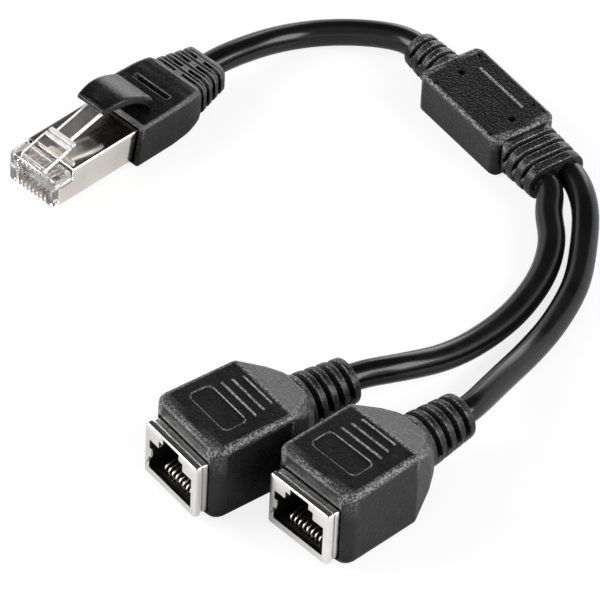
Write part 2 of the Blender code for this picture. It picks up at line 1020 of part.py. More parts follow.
block_feed_end = -block_half - feed_relief_l - gap
block_branch_end = block_half + branch_relief_l + 0.2 + gap
feed_route = [
    exit_point(plug, 0, boot_relief_end + gap, boot_relief_z),
    exit_point(plug, 0, boot_relief_end + 2.5, boot_relief_z),
    (-38.6, -27.7, 4.7),
    (-38.7, -19.4, 3.4),
    (-36.9, -11.5, rest_z),
    (-32.7, -5.5, 2.9),
    (-27.6, -1.5, 3.8),
    exit_point(block, block_feed_end - 2.5, 0, block_mid_z),
    exit_point(block, block_feed_end, 0, block_mid_z),
]
branch_1_route = [
    exit_point(block, block_branch_end, -branch_spread / 2, block_mid_z),
    exit_point(block, block_branch_end + 2, -branch_spread / 2, block_mid_z),
    (27.0, -7.5, 3.6),
    (33.0, -11.4, 3.2),
    (38.6, -18.2, rest_z),
    (43.2, -28.0, rest_z),
    (45.7, -38.0, 3.2),
    (46.8, -47.0, 4.7),
    (46.4, -56.0, 7.0),
    exit_point(frame_at(*jack_places[0]), 0, relief_end + 2.5, relief_z),
    exit_point(frame_at(*jack_places[0]), 0, relief_end + gap, relief_z),
]
branch_2_route = [
    exit_point(block, block_branch_end, branch_spread / 2, block_mid_z),
    exit_point(block, block_branch_end + 2, branch_spread / 2, block_mid_z),
    (30.6, -1.9, 4.1),
    (37.4, -7.8, 3.0),
    (44.0, -15.0, rest_z),
    (49.4, -24.3, rest_z),
    (53.4, -33.2, 3.5),
    (57.6, -42.9, 5.8),
    exit_point(frame_at(*jack_places[1]), 0, relief_end + 2.5, relief_z),
    exit_point(frame_at(*jack_places[1]), 0, relief_end + gap, relief_z),
]
cable_routes = (
    ("feed_cable", feed_route),
    ("branch_cable_1", branch_1_route),
    ("branch_cable_2", branch_2_route),
)
for name, route in cable_routes:
    strand(name, smooth_route(route, cable_step), cable_d, Matrix.Identity(4), black_cable, 4)
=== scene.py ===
import math

import bmesh
import bpy
import numpy as np
from mathutils import Matrix, Vector


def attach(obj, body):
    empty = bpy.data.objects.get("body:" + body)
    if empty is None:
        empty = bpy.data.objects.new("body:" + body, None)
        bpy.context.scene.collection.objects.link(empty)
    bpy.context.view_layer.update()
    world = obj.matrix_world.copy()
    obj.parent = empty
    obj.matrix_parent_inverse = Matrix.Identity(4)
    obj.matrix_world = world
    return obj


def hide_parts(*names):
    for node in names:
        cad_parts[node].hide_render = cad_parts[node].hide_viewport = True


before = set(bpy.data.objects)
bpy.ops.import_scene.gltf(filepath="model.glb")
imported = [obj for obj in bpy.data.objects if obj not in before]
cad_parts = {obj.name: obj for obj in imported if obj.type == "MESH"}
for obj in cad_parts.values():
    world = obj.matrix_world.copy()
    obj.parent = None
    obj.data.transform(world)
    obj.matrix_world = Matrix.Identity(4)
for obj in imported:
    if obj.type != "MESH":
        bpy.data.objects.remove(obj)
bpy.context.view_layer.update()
mm = 0.001

# places of the four groups: x, y in millimetres and turn in degrees, as in the part
places = {
    "plug": (-32.9, -76.4, 7.0),
    "block": (0.0, 0.0, -2.5),
    "jack1": (43.5, -101.6, -1.2),
    "jack2": (65.4, -91.2, 5.0),
}

cameraSet = {
    "azimuth": 50.31,
    "elevation": 42.64,
    "roll": 2.88,
    "target": (19.05, -57.17, 2.77),
    "distance": 1247.9,
    "lens": 426.8,
}


def placeCamera(values):
    # looks back along (sin turn cos tilt, -cos turn cos tilt, sin tilt), rolled about that line
    turn, tilt, roll = (math.radians(values[k]) for k in ("azimuth", "elevation", "roll"))
    level = math.cos(tilt)
    back = Vector((math.sin(turn) * level, -math.cos(turn) * level, math.sin(tilt)))
    side = Vector((math.cos(turn), math.sin(turn), 0.0))
    top = back.cross(side)
    right = side * math.cos(roll) + top * math.sin(roll)
    up = top * math.cos(roll) - side * math.sin(roll)
    data = bpy.data.cameras.new("camera")
    data.lens = values["lens"]
    data.sensor_width = 36.0
    data.clip_start = 0.05
    data.clip_end = 20.0
    camera = bpy.data.objects.new("camera", data)
    matrix = Matrix((right, up, back)).transposed().to_4x4()
    matrix.translation = (Vector(values["target"]) + back * values["distance"]) * mm
    camera.matrix_world = matrix
    bpy.context.scene.collection.objects.link(camera)
    bpy.context.scene.camera = camera


placeCamera(cameraSet)
print("camera placed")


def moved(points, place):
    # points of one group turned and shifted to where the group lies, still in millimetres
    x, y, turn = places[place]
    a = math.radians(turn)
    out = np.array(points, float)
    out[..., 0] = x + math.cos(a) * points[..., 0] - math.sin(a) * points[..., 1]
    out[..., 1] = y + math.sin(a) * points[..., 0] + math.cos(a) * points[..., 1]
    return out


looped, capped = True, False  # a grid's last row joins its first, or both ends get a face


def gridFaces(rows, columns, rowEnds):
    # one four-sided face between each point, the next in its row, and the two after them
    r = np.arange(rows if rowEnds == looped else rows - 1)
    r, c = np.meshgrid(r, np.arange(columns), indexing="ij")
    here, after, c2 = r * columns, (r + 1) % rows * columns, (c + 1) % columns
    return np.stack([here + c, here + c2, after + c2, after + c], -1).reshape(-1, 4)


def paintedEdgeHighlight(grid):
    # the weight of the painted edge highlight: how sharply the surface turns outwards, in radians
    # per mm, times how far it faces up, as light from above catches the upper edges
    outward = grid - grid.mean(axis=1, keepdims=True)
    outward /= np.maximum(np.linalg.norm(outward, axis=-1, keepdims=True), 1e-6)
    paintedHighlight = np.zeros(grid.shape[:2])
    for axis in (0, 1):
        step = np.roll(grid, -1, axis) - grid
        reach = np.maximum(np.linalg.norm(step, axis=-1, keepdims=True), 1e-6)
        turn = np.roll(step / reach, 1, axis) - step / reach
        near = np.maximum((reach + np.roll(reach, 1, axis)) / 2, 0.12)
        bend = (turn * outward).sum(-1) / near[..., 0]
        if axis == 0:
            bend[0] = bend[-1] = 0
        paintedHighlight = np.maximum(paintedHighlight, bend)
    # fine raised lines and sharp rims get a stronger painted highlight, which shows through the
    # grain
    paintedHighlight = np.clip(paintedHighlight * 1.2, 0, 1) + 2 * softStep(paintedHighlight, 2.5, 4)
    return paintedHighlight * np.clip(outward[..., 2] * 2, 0, 1)


def paintedHighlightShare(grid, axis, reach, share, bare=()):
    # full painted edge highlight on the body, a share of it past reach on the relief, none round
    # the small marks
    weight = np.where(np.abs(grid[..., axis]) > reach, share, 1.0)
    for x, y, radius, _ in bare:
        weight = weight * (np.hypot(grid[..., 0] - x, grid[..., 1] - y) > radius + 0.3)
    return weight


def gridOf(x, y, z):
    # rows x columns x 3, from values given for each point, row or column
    return np.stack(np.broadcast_arrays(x, y, z), -1)


def meshFrom(name, shells, place=None, paintedHighlightWeights=()):
    # shells: (points as rows x columns x 3 in mm, looped or capped); then a weight of the painted
    # edge highlight for each shell
    points, faces, start = [], [], 0
    for grid, rowEnds in shells:
        rows, columns = grid.shape[:2]
        faces += (gridFaces(rows, columns, rowEnds) + start).tolist()
        if rowEnds == capped:
            faces.append([start + i for i in range(columns)][::-1])
            faces.append([start + (rows - 1) * columns + i for i in range(columns)])
        points.append(grid.reshape(-1, 3))
        start += rows * columns
    points = np.concatenate(points)
    if place:
        points = moved(points, place)
    mesh = bpy.data.meshes.new(name)
    mesh.from_pydata(points * mm, [], faces)
    shape = bmesh.new()
    shape.from_mesh(mesh)
    bmesh.ops.recalc_face_normals(shape, faces=shape.faces)
    shape.to_mesh(mesh)
    shape.free()
    mesh.update()
    if paintedHighlightWeights:  # the material paints a lighter highlight on the edges with this
        paintedHighlight = [(paintedEdgeHighlight(shell[0]) * weight).ravel() for shell, weight in zip(shells, paintedHighlightWeights)]
        values = np.concatenate(paintedHighlight).astype(np.float32)
        mesh.attributes.new("paintedHighlight", "FLOAT", "POINT").data.foreach_set("value", values)
    return mesh


def addPiece(name, mesh, material, replaced=(), smooth=35):
    # edges that turn by more than smooth degrees stay hard
    obj = bpy.data.objects.new(name, mesh)
    mesh.materials.clear()
    mesh.materials.append(material)
    mesh.polygons.foreach_set("use_smooth", np.ones(len(mesh.polygons), bool))
    mesh.set_sharp_from_angle(angle=math.radians(smooth))
    bpy.context.scene.collection.objects.link(obj)
    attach(obj, "root")
    if replaced:
        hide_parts(*replaced)
    return obj


def softStep(value, low, high):
    # 0 below low, 1 above high, and 3t^2 - 2t^3 between
    t = np.clip((value - low) / (high - low), 0, 1)
    return t * t * (3 - 2 * t)


def sectionColumns(top, side, bottom, corner):
    # the columns round a rounded rectangle: which corner each belongs to, and the way out of it
    arc = np.linspace(0, np.pi / 2, corner + 1)
    ways = [(1, 1), (-1, 1), (-1, -1), (1, -1)]
    parts = []
    for turn, (inner, way) in enumerate(zip((top, side, bottom, side), ways)):
        a = arc + turn * np.pi / 2
        parts.append(np.stack([way[0] + 0 * a, way[1] + 0 * a, np.cos(a), np.sin(a)]))
        share = np.linspace(0, 1, inner + 2)[1:-1]
        after, out = ways[(turn + 1) % 4], (turn + 1) * np.pi / 2
        cx, cz = (way[i] + (after[i] - way[i]) * share for i in (0, 1))
        nx, nz = (round(turned(out)) + 0 * share for turned in (math.cos, math.sin))
        parts.append(np.stack([cx, cz, nx, nz]))
    return np.concatenate(parts, axis=1)


def flatTop(columns):
    # the columns of the flat top, between its two corners
    return (columns[1] == 1) & (columns[3] > 0.99)


def sectionGrid(columns, half, low, high, radius):
    # corner centre plus radius times the way out, for each row and column; a size can be one
    # number, or one for each row
    cx, cz, nx, nz = columns
    rows = (np.atleast_1d(np.asarray(v, float))[:, None] for v in (half, low, high, radius))
    half, low, high, radius = rows
    tall = (high - low) / 2
    radius = np.minimum(radius, np.minimum(half, tall) * 0.98)
    across = cx * (half - radius) + nx * radius
    upright = (low + high) / 2 + cz * (tall - radius) + nz * radius
    return across, upright


def ringRows(start, end, grooves, edge):
    # places along a relief, and how deep each is: 0 on a ring, 1 at the bottom of a groove
    at, deep = [start], [0.0]
    for low, high in grooves:
        middle = (low + high) / 2
        if len(at) > 1:  # keeps the painted highlight of a ring to its two edges
            at.append(low - edge - 0.12)
            deep.append(0)
        at += [low - edge, low - edge * 0.4, low, low + 0.05, middle]
        at += [high - 0.05, high, high + edge * 0.4, high + edge, high + edge + 0.12]
        deep += [0, 0.03, 0.15, 1, 1, 1, 0.15, 0.03, 0, 0]
    at += [end - edge, end - edge * 0.4, end]
    deep += [0, 0.03, 0.15]
    return np.array(at), np.array(deep)


def openShare(deep, cut):
    # a groove's depth at each point: as deep as cut says inside it, the same all round at its edges
    return deep[:, None] * np.where(deep[:, None] > 0.5, cut, 1)


def roundOff(gap, radius):
    # how far a quarter circle of that radius lies inside the corner, at a distance from the end
    rounded = radius - np.sqrt(np.maximum(0, radius**2 - (radius - gap) ** 2))
    return np.where(gap < radius, rounded, 0)


def table(at, rows):
    # reads each column of a table of (place, values...) at other places
    rows = np.array(rows, float)
    return [np.interp(at, rows[:, 0], rows[:, i]) for i in range(1, rows.shape[1])]


def eased(at, values, width):
    # values averaged over a stretch of the given width, which rounds their corners
    wide = np.linspace(-width / 2, width / 2, 9)
    return np.mean([np.interp(at + w, at, values) for w in wide], axis=0)


cable = {"diameter": 4.94, "sides": 40, "step": 0.8, "seat": 0.8, "lead": 0.3}
ends = {  # where each moulding lets its cable out, in its group's own millimetres
    "boot": (42.2, 5.1),
    "feed": 20.5,
    "branch": 21.3,
    "jack": (34.9, 8.0),
    "spread": 2.65,
    "blockZ": 4.2,
}


def pointAt(place, x, y, z):
    # one point of a group, where the group lies
    return moved(np.array([[x, y, z]]), place)[0]


def smoothRoute(points, step):
    # Catmull-Rom: each stretch is a cubic whose end slopes are half the chord of its neighbours
    p = np.array(points, float)
    before, start, end, after = p[:-3], p[1:-2], p[2:-1], p[3:]
    t = np.linspace(0, 1, 60, endpoint=False)[None, :, None]
    a, b, c, d = (q[:, None, :] for q in (before, start, end, after))
    square, cube = 2 * a - 5 * b + 4 * c - d, 3 * b - a - 3 * c + d
    fine = 0.5 * (2 * b + (c - a) * t + square * t**2 + cube * t**3)
    fine = np.concatenate([p[:1], fine.reshape(-1, 3), p[-2:-1], p[-1:]])
    run = np.concatenate([[0], np.cumsum(np.linalg.norm(np.diff(fine, axis=0), axis=1))])
    even = np.linspace(0, run[-1], max(2, int(run[-1] / step)))
    line = np.stack([np.interp(even, run, fine[:, i]) for i in range(3)], -1)
    for i in range(12):  # eases the small kinks where a straight lead meets its curve
        line[2:-2] = (line[1:-3] + 2 * line[2:-2] + line[3:-1]) / 4
    return line, run[-1]


def tubeGrid(line, radius, sides):
    # each ring is a circle across the line: centre + cos(angle) * side + sin(angle) * top
    tangent = np.gradient(line, axis=0)
    tangent /= np.linalg.norm(tangent, axis=1)[:, None]
    side = np.cross(tangent, [0.0, 0.0, 1.0])
    side /= np.linalg.norm(side, axis=1)[:, None]
    top = np.cross(side, tangent)
    angle = np.linspace(0, 2 * np.pi, sides, endpoint=False)[:, None]
    return line[:, None] + radius * (np.cos(angle) * side[:, None] + np.sin(angle) * top[:, None])


def cableRoutes():
    # a straight lead out of each moulding, and points measured along the cable between them
    lead = cable["lead"]
    branchX, feedX = ends["branch"] + lead, -ends["feed"] - lead
    s, z = ends["spread"], ends["blockZ"]
    bootY, bootZ = ends["boot"]
    jackY, jackZ = ends["jack"]
    return {
        "feed_cable": [
            pointAt("plug", 0, bootY + lead, bootZ),
            pointAt("plug", 0, bootY + 2.5, bootZ),
            (-38.6, -27.7, 4.7),
            (-38.7, -19.4, 3.4),
            (-36.9, -11.5, 2.52),
            (-32.7, -5.5, 2.9),
            (-27.6, -1.5, 3.8),
            pointAt("block", feedX - 2.5, 0, z),
            pointAt("block", feedX, 0, z),
        ],
        "branch_cable_1": [
            pointAt("block", branchX, -s, z),
            pointAt("block", branchX + 2, -s, z),
            (27.0, -7.5, 3.6),
            (33.0, -11.4, 3.2),
            (38.6, -18.2, 2.52),
            (43.2, -28.0, 2.52),
            (45.7, -38.0, 3.2),
            (46.8, -47.0, 4.7),
            (46.4, -56.0, 7.0),
            pointAt("jack1", 0, jackY + 2.5, jackZ),
            pointAt("jack1", 0, jackY + lead, jackZ),
        ],
        "branch_cable_2": [
            pointAt("block", branchX, s, z),
            pointAt("block", branchX + 2, s, z),
            (30.6, -1.9, 4.1),
            (37.4, -7.8, 3.0),
            (44.0, -15.0, 2.52),
            (49.4, -24.3, 2.52),
            (53.4, -33.2, 3.5),
            (57.6, -42.9, 5.8),
            pointAt("jack2", 0, jackY + 2.5, jackZ),
            pointAt("jack2", 0, jackY + lead, jackZ),
        ],
    }


def setInputs(node, values):
    for name, value in values.items():
        node.inputs[name].default_value = value


def newMaterial(name, base, metallic=0.0, roughness=0.5):
    material = bpy.data.materials.new(name)
    material.use_nodes = True
    tree = material.node_tree
    shader = tree.nodes["Principled BSDF"]
    setInputs(shader, {"Base Color": (*base, 1), "Metallic": metallic, "Roughness": roughness})
    return material, tree, shader


def noise(tree, scale, detail=2.0, roughness=0.5, stretch=None):
    # noise through the solid, on Object coordinates, and drawn out along an axis for brushed lines
    place = tree.nodes.get("place") or tree.nodes.new("ShaderNodeTexCoord")
    place.name = "place"
    source = place.outputs["Object"]
    if stretch:
        mapping = tree.nodes.new("ShaderNodeMapping")
        setInputs(mapping, {"Scale": stretch})
        tree.links.new(source, mapping.inputs["Vector"])
        source = mapping.outputs["Vector"]
    node = tree.nodes.new("ShaderNodeTexNoise")
    setInputs(node, {"Scale": scale, "Detail": detail, "Roughness": roughness})
    tree.links.new(source, node.inputs["Vector"])
    return node.outputs["Fac"]


def ramp(tree, source, stops):
    # stops: (place on the source, colour)
    node = tree.nodes.new("ShaderNodeValToRGB")
    for i, (at, colour) in enumerate(stops):
        stop = node.color_ramp.elements[i] if i < 2 else node.color_ramp.elements.new(at)
        stop.position = at
        stop.color = (*colour, 1)
    tree.links.new(source, node.inputs["Fac"])
    return node.outputs["Color"]


def spread(tree, source, low, high, fromLow=0.3, fromHigh=0.7):
    # the source's middle stretch, taken to low and high
    node = tree.nodes.new("ShaderNodeMapRange")
    setInputs(node, {"From Min": fromLow, "From Max": fromHigh, "To Min": low, "To Max": high})
    tree.links.new(source, node.inputs["Value"])
    return node.outputs["Result"]


def mathNode(tree, operation, first, second):
    node = tree.nodes.new("ShaderNodeMath")
    node.operation = operation
    for socket, value in zip(node.inputs, (first, second)):
        if isinstance(value, (int, float)):
            socket.default_value = value
        else:
            tree.links.new(value, socket)
    return node.outputs[0]


def bump(tree, shader, sources):
    # sources: (height, strength, distance in metres), the coarsest first
    last = None
    for height, strength, distance in sources:
        node = tree.nodes.new("ShaderNodeBump")
        setInputs(node, {"Strength": strength, "Distance": distance})
        tree.links.new(height, node.inputs["Height"])
        if last:
            tree.links.new(last, node.inputs["Normal"])
        last = node.outputs["Normal"]
    tree.links.new(last, shader.inputs["Normal"])


def mouldedPlastic(
    name, dark, light, rough, grain, gloss=0.5, paintedHighlightGrey=(0.26, 0.26, 0.263), speckled=(0.44, 0.62)
):
    # matt moulded plastic: fine eroded grain, broad patches, and a highlight painted light grey in
    # speckles on the edges
    material, tree, shader = newMaterial(name, dark)
    fine = noise(tree, 1900, 2.0, 0.6)
    broad = noise(tree, 210, 3.0)
    paintedHighlight = tree.nodes.new("ShaderNodeAttribute")
    paintedHighlight.attribute_name = "paintedHighlight"
    speckle = spread(tree, noise(tree, 2800, 2.0, 0.6), 0.1, 1.0, *speckled)
    colour = tree.nodes.new("ShaderNodeMix")
    colour.data_type = "RGBA"
    share = mathNode(tree, "MULTIPLY", paintedHighlight.outputs["Fac"], speckle)
    tree.links.new(share, colour.inputs["Factor"])
    tree.links.new(ramp(tree, broad, [(0.3, dark), (0.7, light)]), colour.inputs[6])
    # painted edge highlight: this light grey is mixed in by the edge weight times the speckle
    colour.inputs[7].default_value = (*paintedHighlightGrey, 1)
    tree.links.new(colour.outputs[2], shader.inputs["Base Color"])
    tree.links.new(spread(tree, fine, *rough), shader.inputs["Roughness"])
    setInputs(shader, {"Specular IOR Level": gloss})
    bump(tree, shader, [(broad, 0.15, 0.00008), (fine, grain, 0.00008)])
    return material


def cableSheath(name, dark, light, rough):
    # smooth soft sheath: broad patches of gloss and a very faint grain
    material, tree, shader = newMaterial(name, dark)
    fine = noise(tree, 900, 2.0)
    broad = noise(tree, 120, 2.0)
    tree.links.new(ramp(tree, broad, [(0.3, dark), (0.7, light)]), shader.inputs["Base Color"])
    tree.links.new(spread(tree, broad, *rough), shader.inputs["Roughness"])
    setInputs(shader, {"Specular IOR Level": 0.36})
    bump(tree, shader, [(broad, 0.1, 0.0002), (fine, 0.06, 0.0001)])
    return material


def rolledMetal(name, dark, light, rough, streak, waves=0.3):
    # plated sheet: drawn lines along one way, soft waves from folding, and cloudy dulling
    material, tree, shader = newMaterial(name, light, 1.0)
    lines = noise(tree, 900, 3.0, 0.6, streak)
    cloud = noise(tree, 160, 3.0)
    wave = noise(tree, 70, 1.0)
    tree.links.new(ramp(tree, cloud, [(0.3, dark), (0.7, light)]), shader.inputs["Base Color"])
    tree.links.new(spread(tree, lines, *rough), shader.inputs["Roughness"])
    bump(tree, shader, [(wave, waves, 0.0008), (lines, 0.12, 0.00004)])
    return material


def clearPlastic(name, clear, tint, rough):
    # clear moulding: light that isn't let through is scattered white, as in thick edges
    material, tree, shader = newMaterial(name, tint)
    wave = noise(tree, 420, 2.0)
    fine = noise(tree, 2600, 2.0)
    tree.links.new(spread(tree, wave, *rough), shader.inputs["Roughness"])
    through = spread(tree, wave, *clear, 0.35, 0.65)
    tree.links.new(through, shader.inputs["Transmission Weight"])
    setInputs(shader, {"IOR": 1.5})
    bump(tree, shader, [(wave, 0.3, 0.0002), (fine, 0.1, 0.00004)])
    return material


def wireCover(name, base):
    # core cover, paled halfway to white as it looks behind the clear nose: a painted haze of the
    # light the nose scatters over it
    base = tuple(0.5 + 0.5 * v for v in base)
    material, tree, shader = newMaterial(name, base)
    fine = noise(tree, 1500, 2.0)
    darker = tuple(v * 0.8 for v in base)
    tree.links.new(ramp(tree, fine, [(0.35, darker), (0.65, base)]), shader.inputs["Base Color"])
    tree.links.new(spread(tree, fine, 0.32, 0.48), shader.inputs["Roughness"])
    bump(tree, shader, [(fine, 0.15, 0.00005)])
    return material


# darkest and lightest colour, then roughness from and to
moulding = mouldedPlastic(
    "grainedMoulding", (0.006, 0.006, 0.0063), (0.011, 0.011, 0.0115), (0.24, 0.38),
    grain=0.9, gloss=0.24,
)
bootMoulding = mouldedPlastic(
    "bootMoulding", (0.003, 0.003, 0.0032), (0.007, 0.007, 0.0073), (0.2, 0.32),
    grain=0.5, gloss=0.24, paintedHighlightGrey=(0.19, 0.19, 0.193), speckled=(0.25, 0.6),
)
blockMoulding = mouldedPlastic(
    "blockMoulding", (0.004, 0.004, 0.0043), (0.009, 0.009, 0.0095), (0.18, 0.34),
    grain=1.4, gloss=0.24, paintedHighlightGrey=(0.34, 0.34, 0.343),
)
innerPlastic = mouldedPlastic(
    "innerPlastic", (0.004, 0.004, 0.004), (0.007, 0.007, 0.007), (0.3, 0.4),
    grain=0.1, gloss=0.4,
)
boardGreen = mouldedPlastic(
    "boardGreen", (0.02, 0.14, 0.05), (0.03, 0.2, 0.08), (0.35, 0.5), grain=0.2
)
sheath = cableSheath("cableSheath", (0.0025, 0.0025, 0.003), (0.005, 0.005, 0.0055), (0.15, 0.24))
# the same, then how the drawn lines are stretched along x, y and z
shellMetal = rolledMetal(
    "plugShellMetal", (0.72, 0.68, 0.64), (0.84, 0.8, 0.75), (0.1, 0.2), (1.0, 0.08, 1.0)
)
faceMetal = rolledMetal(
    "socketFaceMetal", (0.72, 0.71, 0.695), (0.83, 0.82, 0.805), (0.14, 0.24), (0.08, 1.0, 1.0),
    waves=0.2,
)
springMetal = rolledMetal(
    "springContactMetal", (0.86, 0.82, 0.72), (0.95, 0.92, 0.84), (0.12, 0.2), (1.0, 0.1, 1.0),
    waves=0.1,
)
bladeMetal = rolledMetal(
    "bladeMetal", (0.42, 0.34, 0.22), (0.6, 0.5, 0.34), (0.14, 0.24), (1.0, 1.0, 0.2),
    waves=0.1,
)
# share of the light let through, tint, then roughness from and to
noseClear = clearPlastic("noseClear", (0.84, 1.0), (0.97, 0.955, 0.955), (0.02, 0.05))
panelClear = clearPlastic("panelClear", (0.9, 0.97), (0.86, 0.83, 0.79), (0.03, 0.08))
# the shoulder and the rails let little light through and turn milky white: a painted highlight for
# the light that thick clear edges catch
shoulderClearPaintedHighlight = clearPlastic("shoulderClearPaintedHighlight", (0.3, 0.62), (0.98, 0.975, 0.965), (0.03, 0.08))
edgeClearPaintedHighlight = clearPlastic("edgeClearPaintedHighlight", (0.05, 0.25), (0.96, 0.96, 0.95), (0.08, 0.18))
print("materials made")

# the cables come first of the pieces
for name, route in cableRoutes().items():
    line, length = smoothRoute(route, cable["step"])
    seat = cable["seat"] + cable["lead"]
    first = line[0] + (line[0] - line[1]) / np.linalg.norm(line[0] - line[1]) * seat
    last = line[-1] + (line[-1] - line[-2]) / np.linalg.norm(line[-1] - line[-2]) * seat
    line = np.concatenate([[first], line, [last]])
    tube = tubeGrid(line, cable["diameter"] / 2, cable["sides"])
    mesh = meshFrom(name + "Sheath", [(tube, capped)])
    lead = addPiece(name + "Sheath", mesh, sheath, (name,))
    print(name, "length", round(float(length), 1), "mm")

housing = {
    "half": 9.1,
    "height": 16.0,
    "top": 16.8,
    "draft": 0.96,
    "edge": 1.25,
    "frontCorner": 2.6,
    "taper": (
        # place, half width, lower side, upper side, corner radius
        (21.6, 6.9, 1.9, 14.1, 2.2),
        (23.4, 5.9, 2.55, 13.45, 3.3),
        (24.0, 5.5, 2.75, 13.25, 3.6),
    ),
    "taperEdge": 0.45,
    "axis": 8.0,
    "reliefEnd": 34.9,
    "reliefRadii": (5.4, 4.3),
    # share of the painted edge highlight left on the relief
    "reliefPaintedHighlight": 0.4,
    "grooves": ((24.95, 26.1), (27.4, 28.55), (29.85, 31.0), (32.3, 33.45)),
    "grooveDepth": 1.25,
    "web": (5.6, 7.9),  # heights between which the grooves are filled
    "pocket": (7.45, 1.2, 12.8, 13.2),  # half width, lower side, upper side, depth
    "lines": ((11.5, 5.0), (13.5, 4.6), (15.5, 4.2)),  # place and half length of each
    "lineHeight": 0.3,
    "label": (-0.3, 5.4, 4.9, 9.7),  # middle, half width, front, rear
    "labelCorner": 1.1,
    "labelDepth": 0.22,
}


def housingGrid(v):
    # rounded rectangles that shrink through the taper, then circles that drop by the depth of
    # each groove; the top is raised by the lines and lowered in the label field
    columns = sectionColumns(74, 26, 26, 6)
    taperEnd, *lastSection = v["taper"][-1]
    ridge = (-0.34, -0.26, -0.19, -0.1, 0.1, 0.19, 0.26, 0.34)
    fine = [y + s for y, reach in v["lines"] for s in ridge]
    fine += [y + s for y in v["label"][2:] for s in (-0.12, 0.0, 0.12)]
    early = [0.16, 0.22, 0.3, 0.4, 0.55, 0.72, 0.95, 1.25, 1.6, 2.0, 2.4]
    even = np.concatenate([np.arange(2.7, 16.2, 0.3), np.arange(16.2, taperEnd + 0.01, 0.15)])
    body = np.unique(np.round(np.concatenate([early, even, fine]), 3))
    front = (0, v["half"], 0, v["height"], v["edge"])
    rear = (v["top"], v["half"] * v["draft"], 0, v["height"], v["edge"] * 0.7)
    half, low, high, radius = table(body, [front, rear, *v["taper"]])
    half, low, high = (eased(body, q, 0.7) for q in (half, low, high))
    shrink = roundOff(taperEnd - body, v["taperEdge"])
    half -= roundOff(body, v["frontCorner"]) + shrink
    inset = roundOff(body, v["edge"]) + shrink
    x, z = sectionGrid(columns, half, low + inset, high - inset, radius)
    y = body[:, None]
    lift = np.zeros_like(x)
    for middle, reach in v["lines"]:
        line = softStep(-np.abs(y - middle), -0.27, -0.14)
        lift += v["lineHeight"] * line * softStep(-np.abs(x), -reach, -reach + 0.25)
    mid, reach, front, rear = v["label"]
    corner = v["labelCorner"]
    dx = np.abs(x - mid) - reach + corner
    dy = np.abs(y - (front + rear) / 2) - (rear - front) / 2 + corner
    outside = np.hypot(np.maximum(dx, 0), np.maximum(dy, 0)) - corner
    outside += np.minimum(np.maximum(dx, dy), 0)
    lift -= v["labelDepth"] * softStep(-outside, 0.0, 0.22)
    sleeve = gridOf(x, y, z + lift * flatTop(columns))
    # the circles' angles follow the columns of the taper's last section
    lastX, lastZ = sectionGrid(columns, *lastSection)
    angle = np.arctan2(lastZ[0] - v["axis"], lastX[0])
    at, deep = ringRows(taperEnd, v["reliefEnd"], v["grooves"], 0.22)
    radii = np.interp(at, [taperEnd, v["reliefEnd"]], v["reliefRadii"])[:, None]
    side = np.sin(angle)[None, :] * radii + v["axis"]
    low, high = v["web"]
    above = softStep(side, high - 0.12, high + 0.12)
    below = softStep(-side, -low - 0.12, -low + 0.12)
    rings = radii - v["grooveDepth"] * openShare(deep, np.maximum(above, below))
    relief = gridOf(rings * np.cos(angle), at[:, None], v["axis"] + rings * np.sin(angle))
    half, low, high, rear = v["pocket"]
    flare = np.array([0, 0, 0.08])
    x, z = sectionGrid(columns, half + flare, low - flare, high + flare, 0.4)
    pocket = gridOf(x, np.array([[rear], [0.26], [0.14]]), z)
    return np.concatenate([pocket, sleeve, relief])


boot = {
    "front": 17.9,
    "lean": 1.5,
    "top": 8.65,
    "half": 7.3,
    "rear": 34.6,
    "frontEdge": 0.4,
    "pocket": (6.25, 0.5, 7.7, 27.4),  # half width, lower side, upper side, depth
    "groove": (27.8, 28.95, 4.1, 1.1),  # from, to, half length, depth
    "end": 42.2,
    "grooves": ((34.62, 35.35), (36.35, 37.2), (38.2, 39.05), (40.05, 40.9)),
    "ribs": ((6.45, 1.4, 8.25), (4.8, 1.95, 7.8)),  # half width, lower side, upper side at each end
    "core": ((5.2, 2.2, 7.3), (3.4, 2.6, 6.9)),
    "reliefCorner": 1.6,
    "spine": 0.8,
}
hood = {
    "wall": 0.9,
    "roof": 0.8,
    "rows": [
        # place, half width, top, corner radius, lower edge of the side
        (12.95, 3.3, 13.45, 0.3, 12.95),
        (13.1, 3.4, 13.68, 0.4, 12.98),
        (13.4, 3.5, 13.85, 0.45, 13.02),
        (14.6, 3.75, 14.15, 0.55, 13.1),
        (16.0, 4.0, 14.33, 0.6, 12.98),
        (17.8, 4.12, 14.28, 0.65, 12.85),
        (19.5, 4.25, 13.8, 0.65, 12.5),
        (20.8, 4.38, 13.2, 0.65, 11.95),
        (22.2, 4.45, 12.55, 0.65, 10.8),
        (23.3, 4.5, 11.95, 0.6, 9.6),
        (23.6, 4.5, 11.7, 0.6, 8.9),
        (24.0, 4.5, 11.3, 0.5, 8.2),
        (24.15, 4.4, 11.0, 0.4, 8.2),
    ],
    "spaceEnd": 22.4,
    # share of the painted edge highlight on the hood
    "paintedHighlight": 0.5,
}


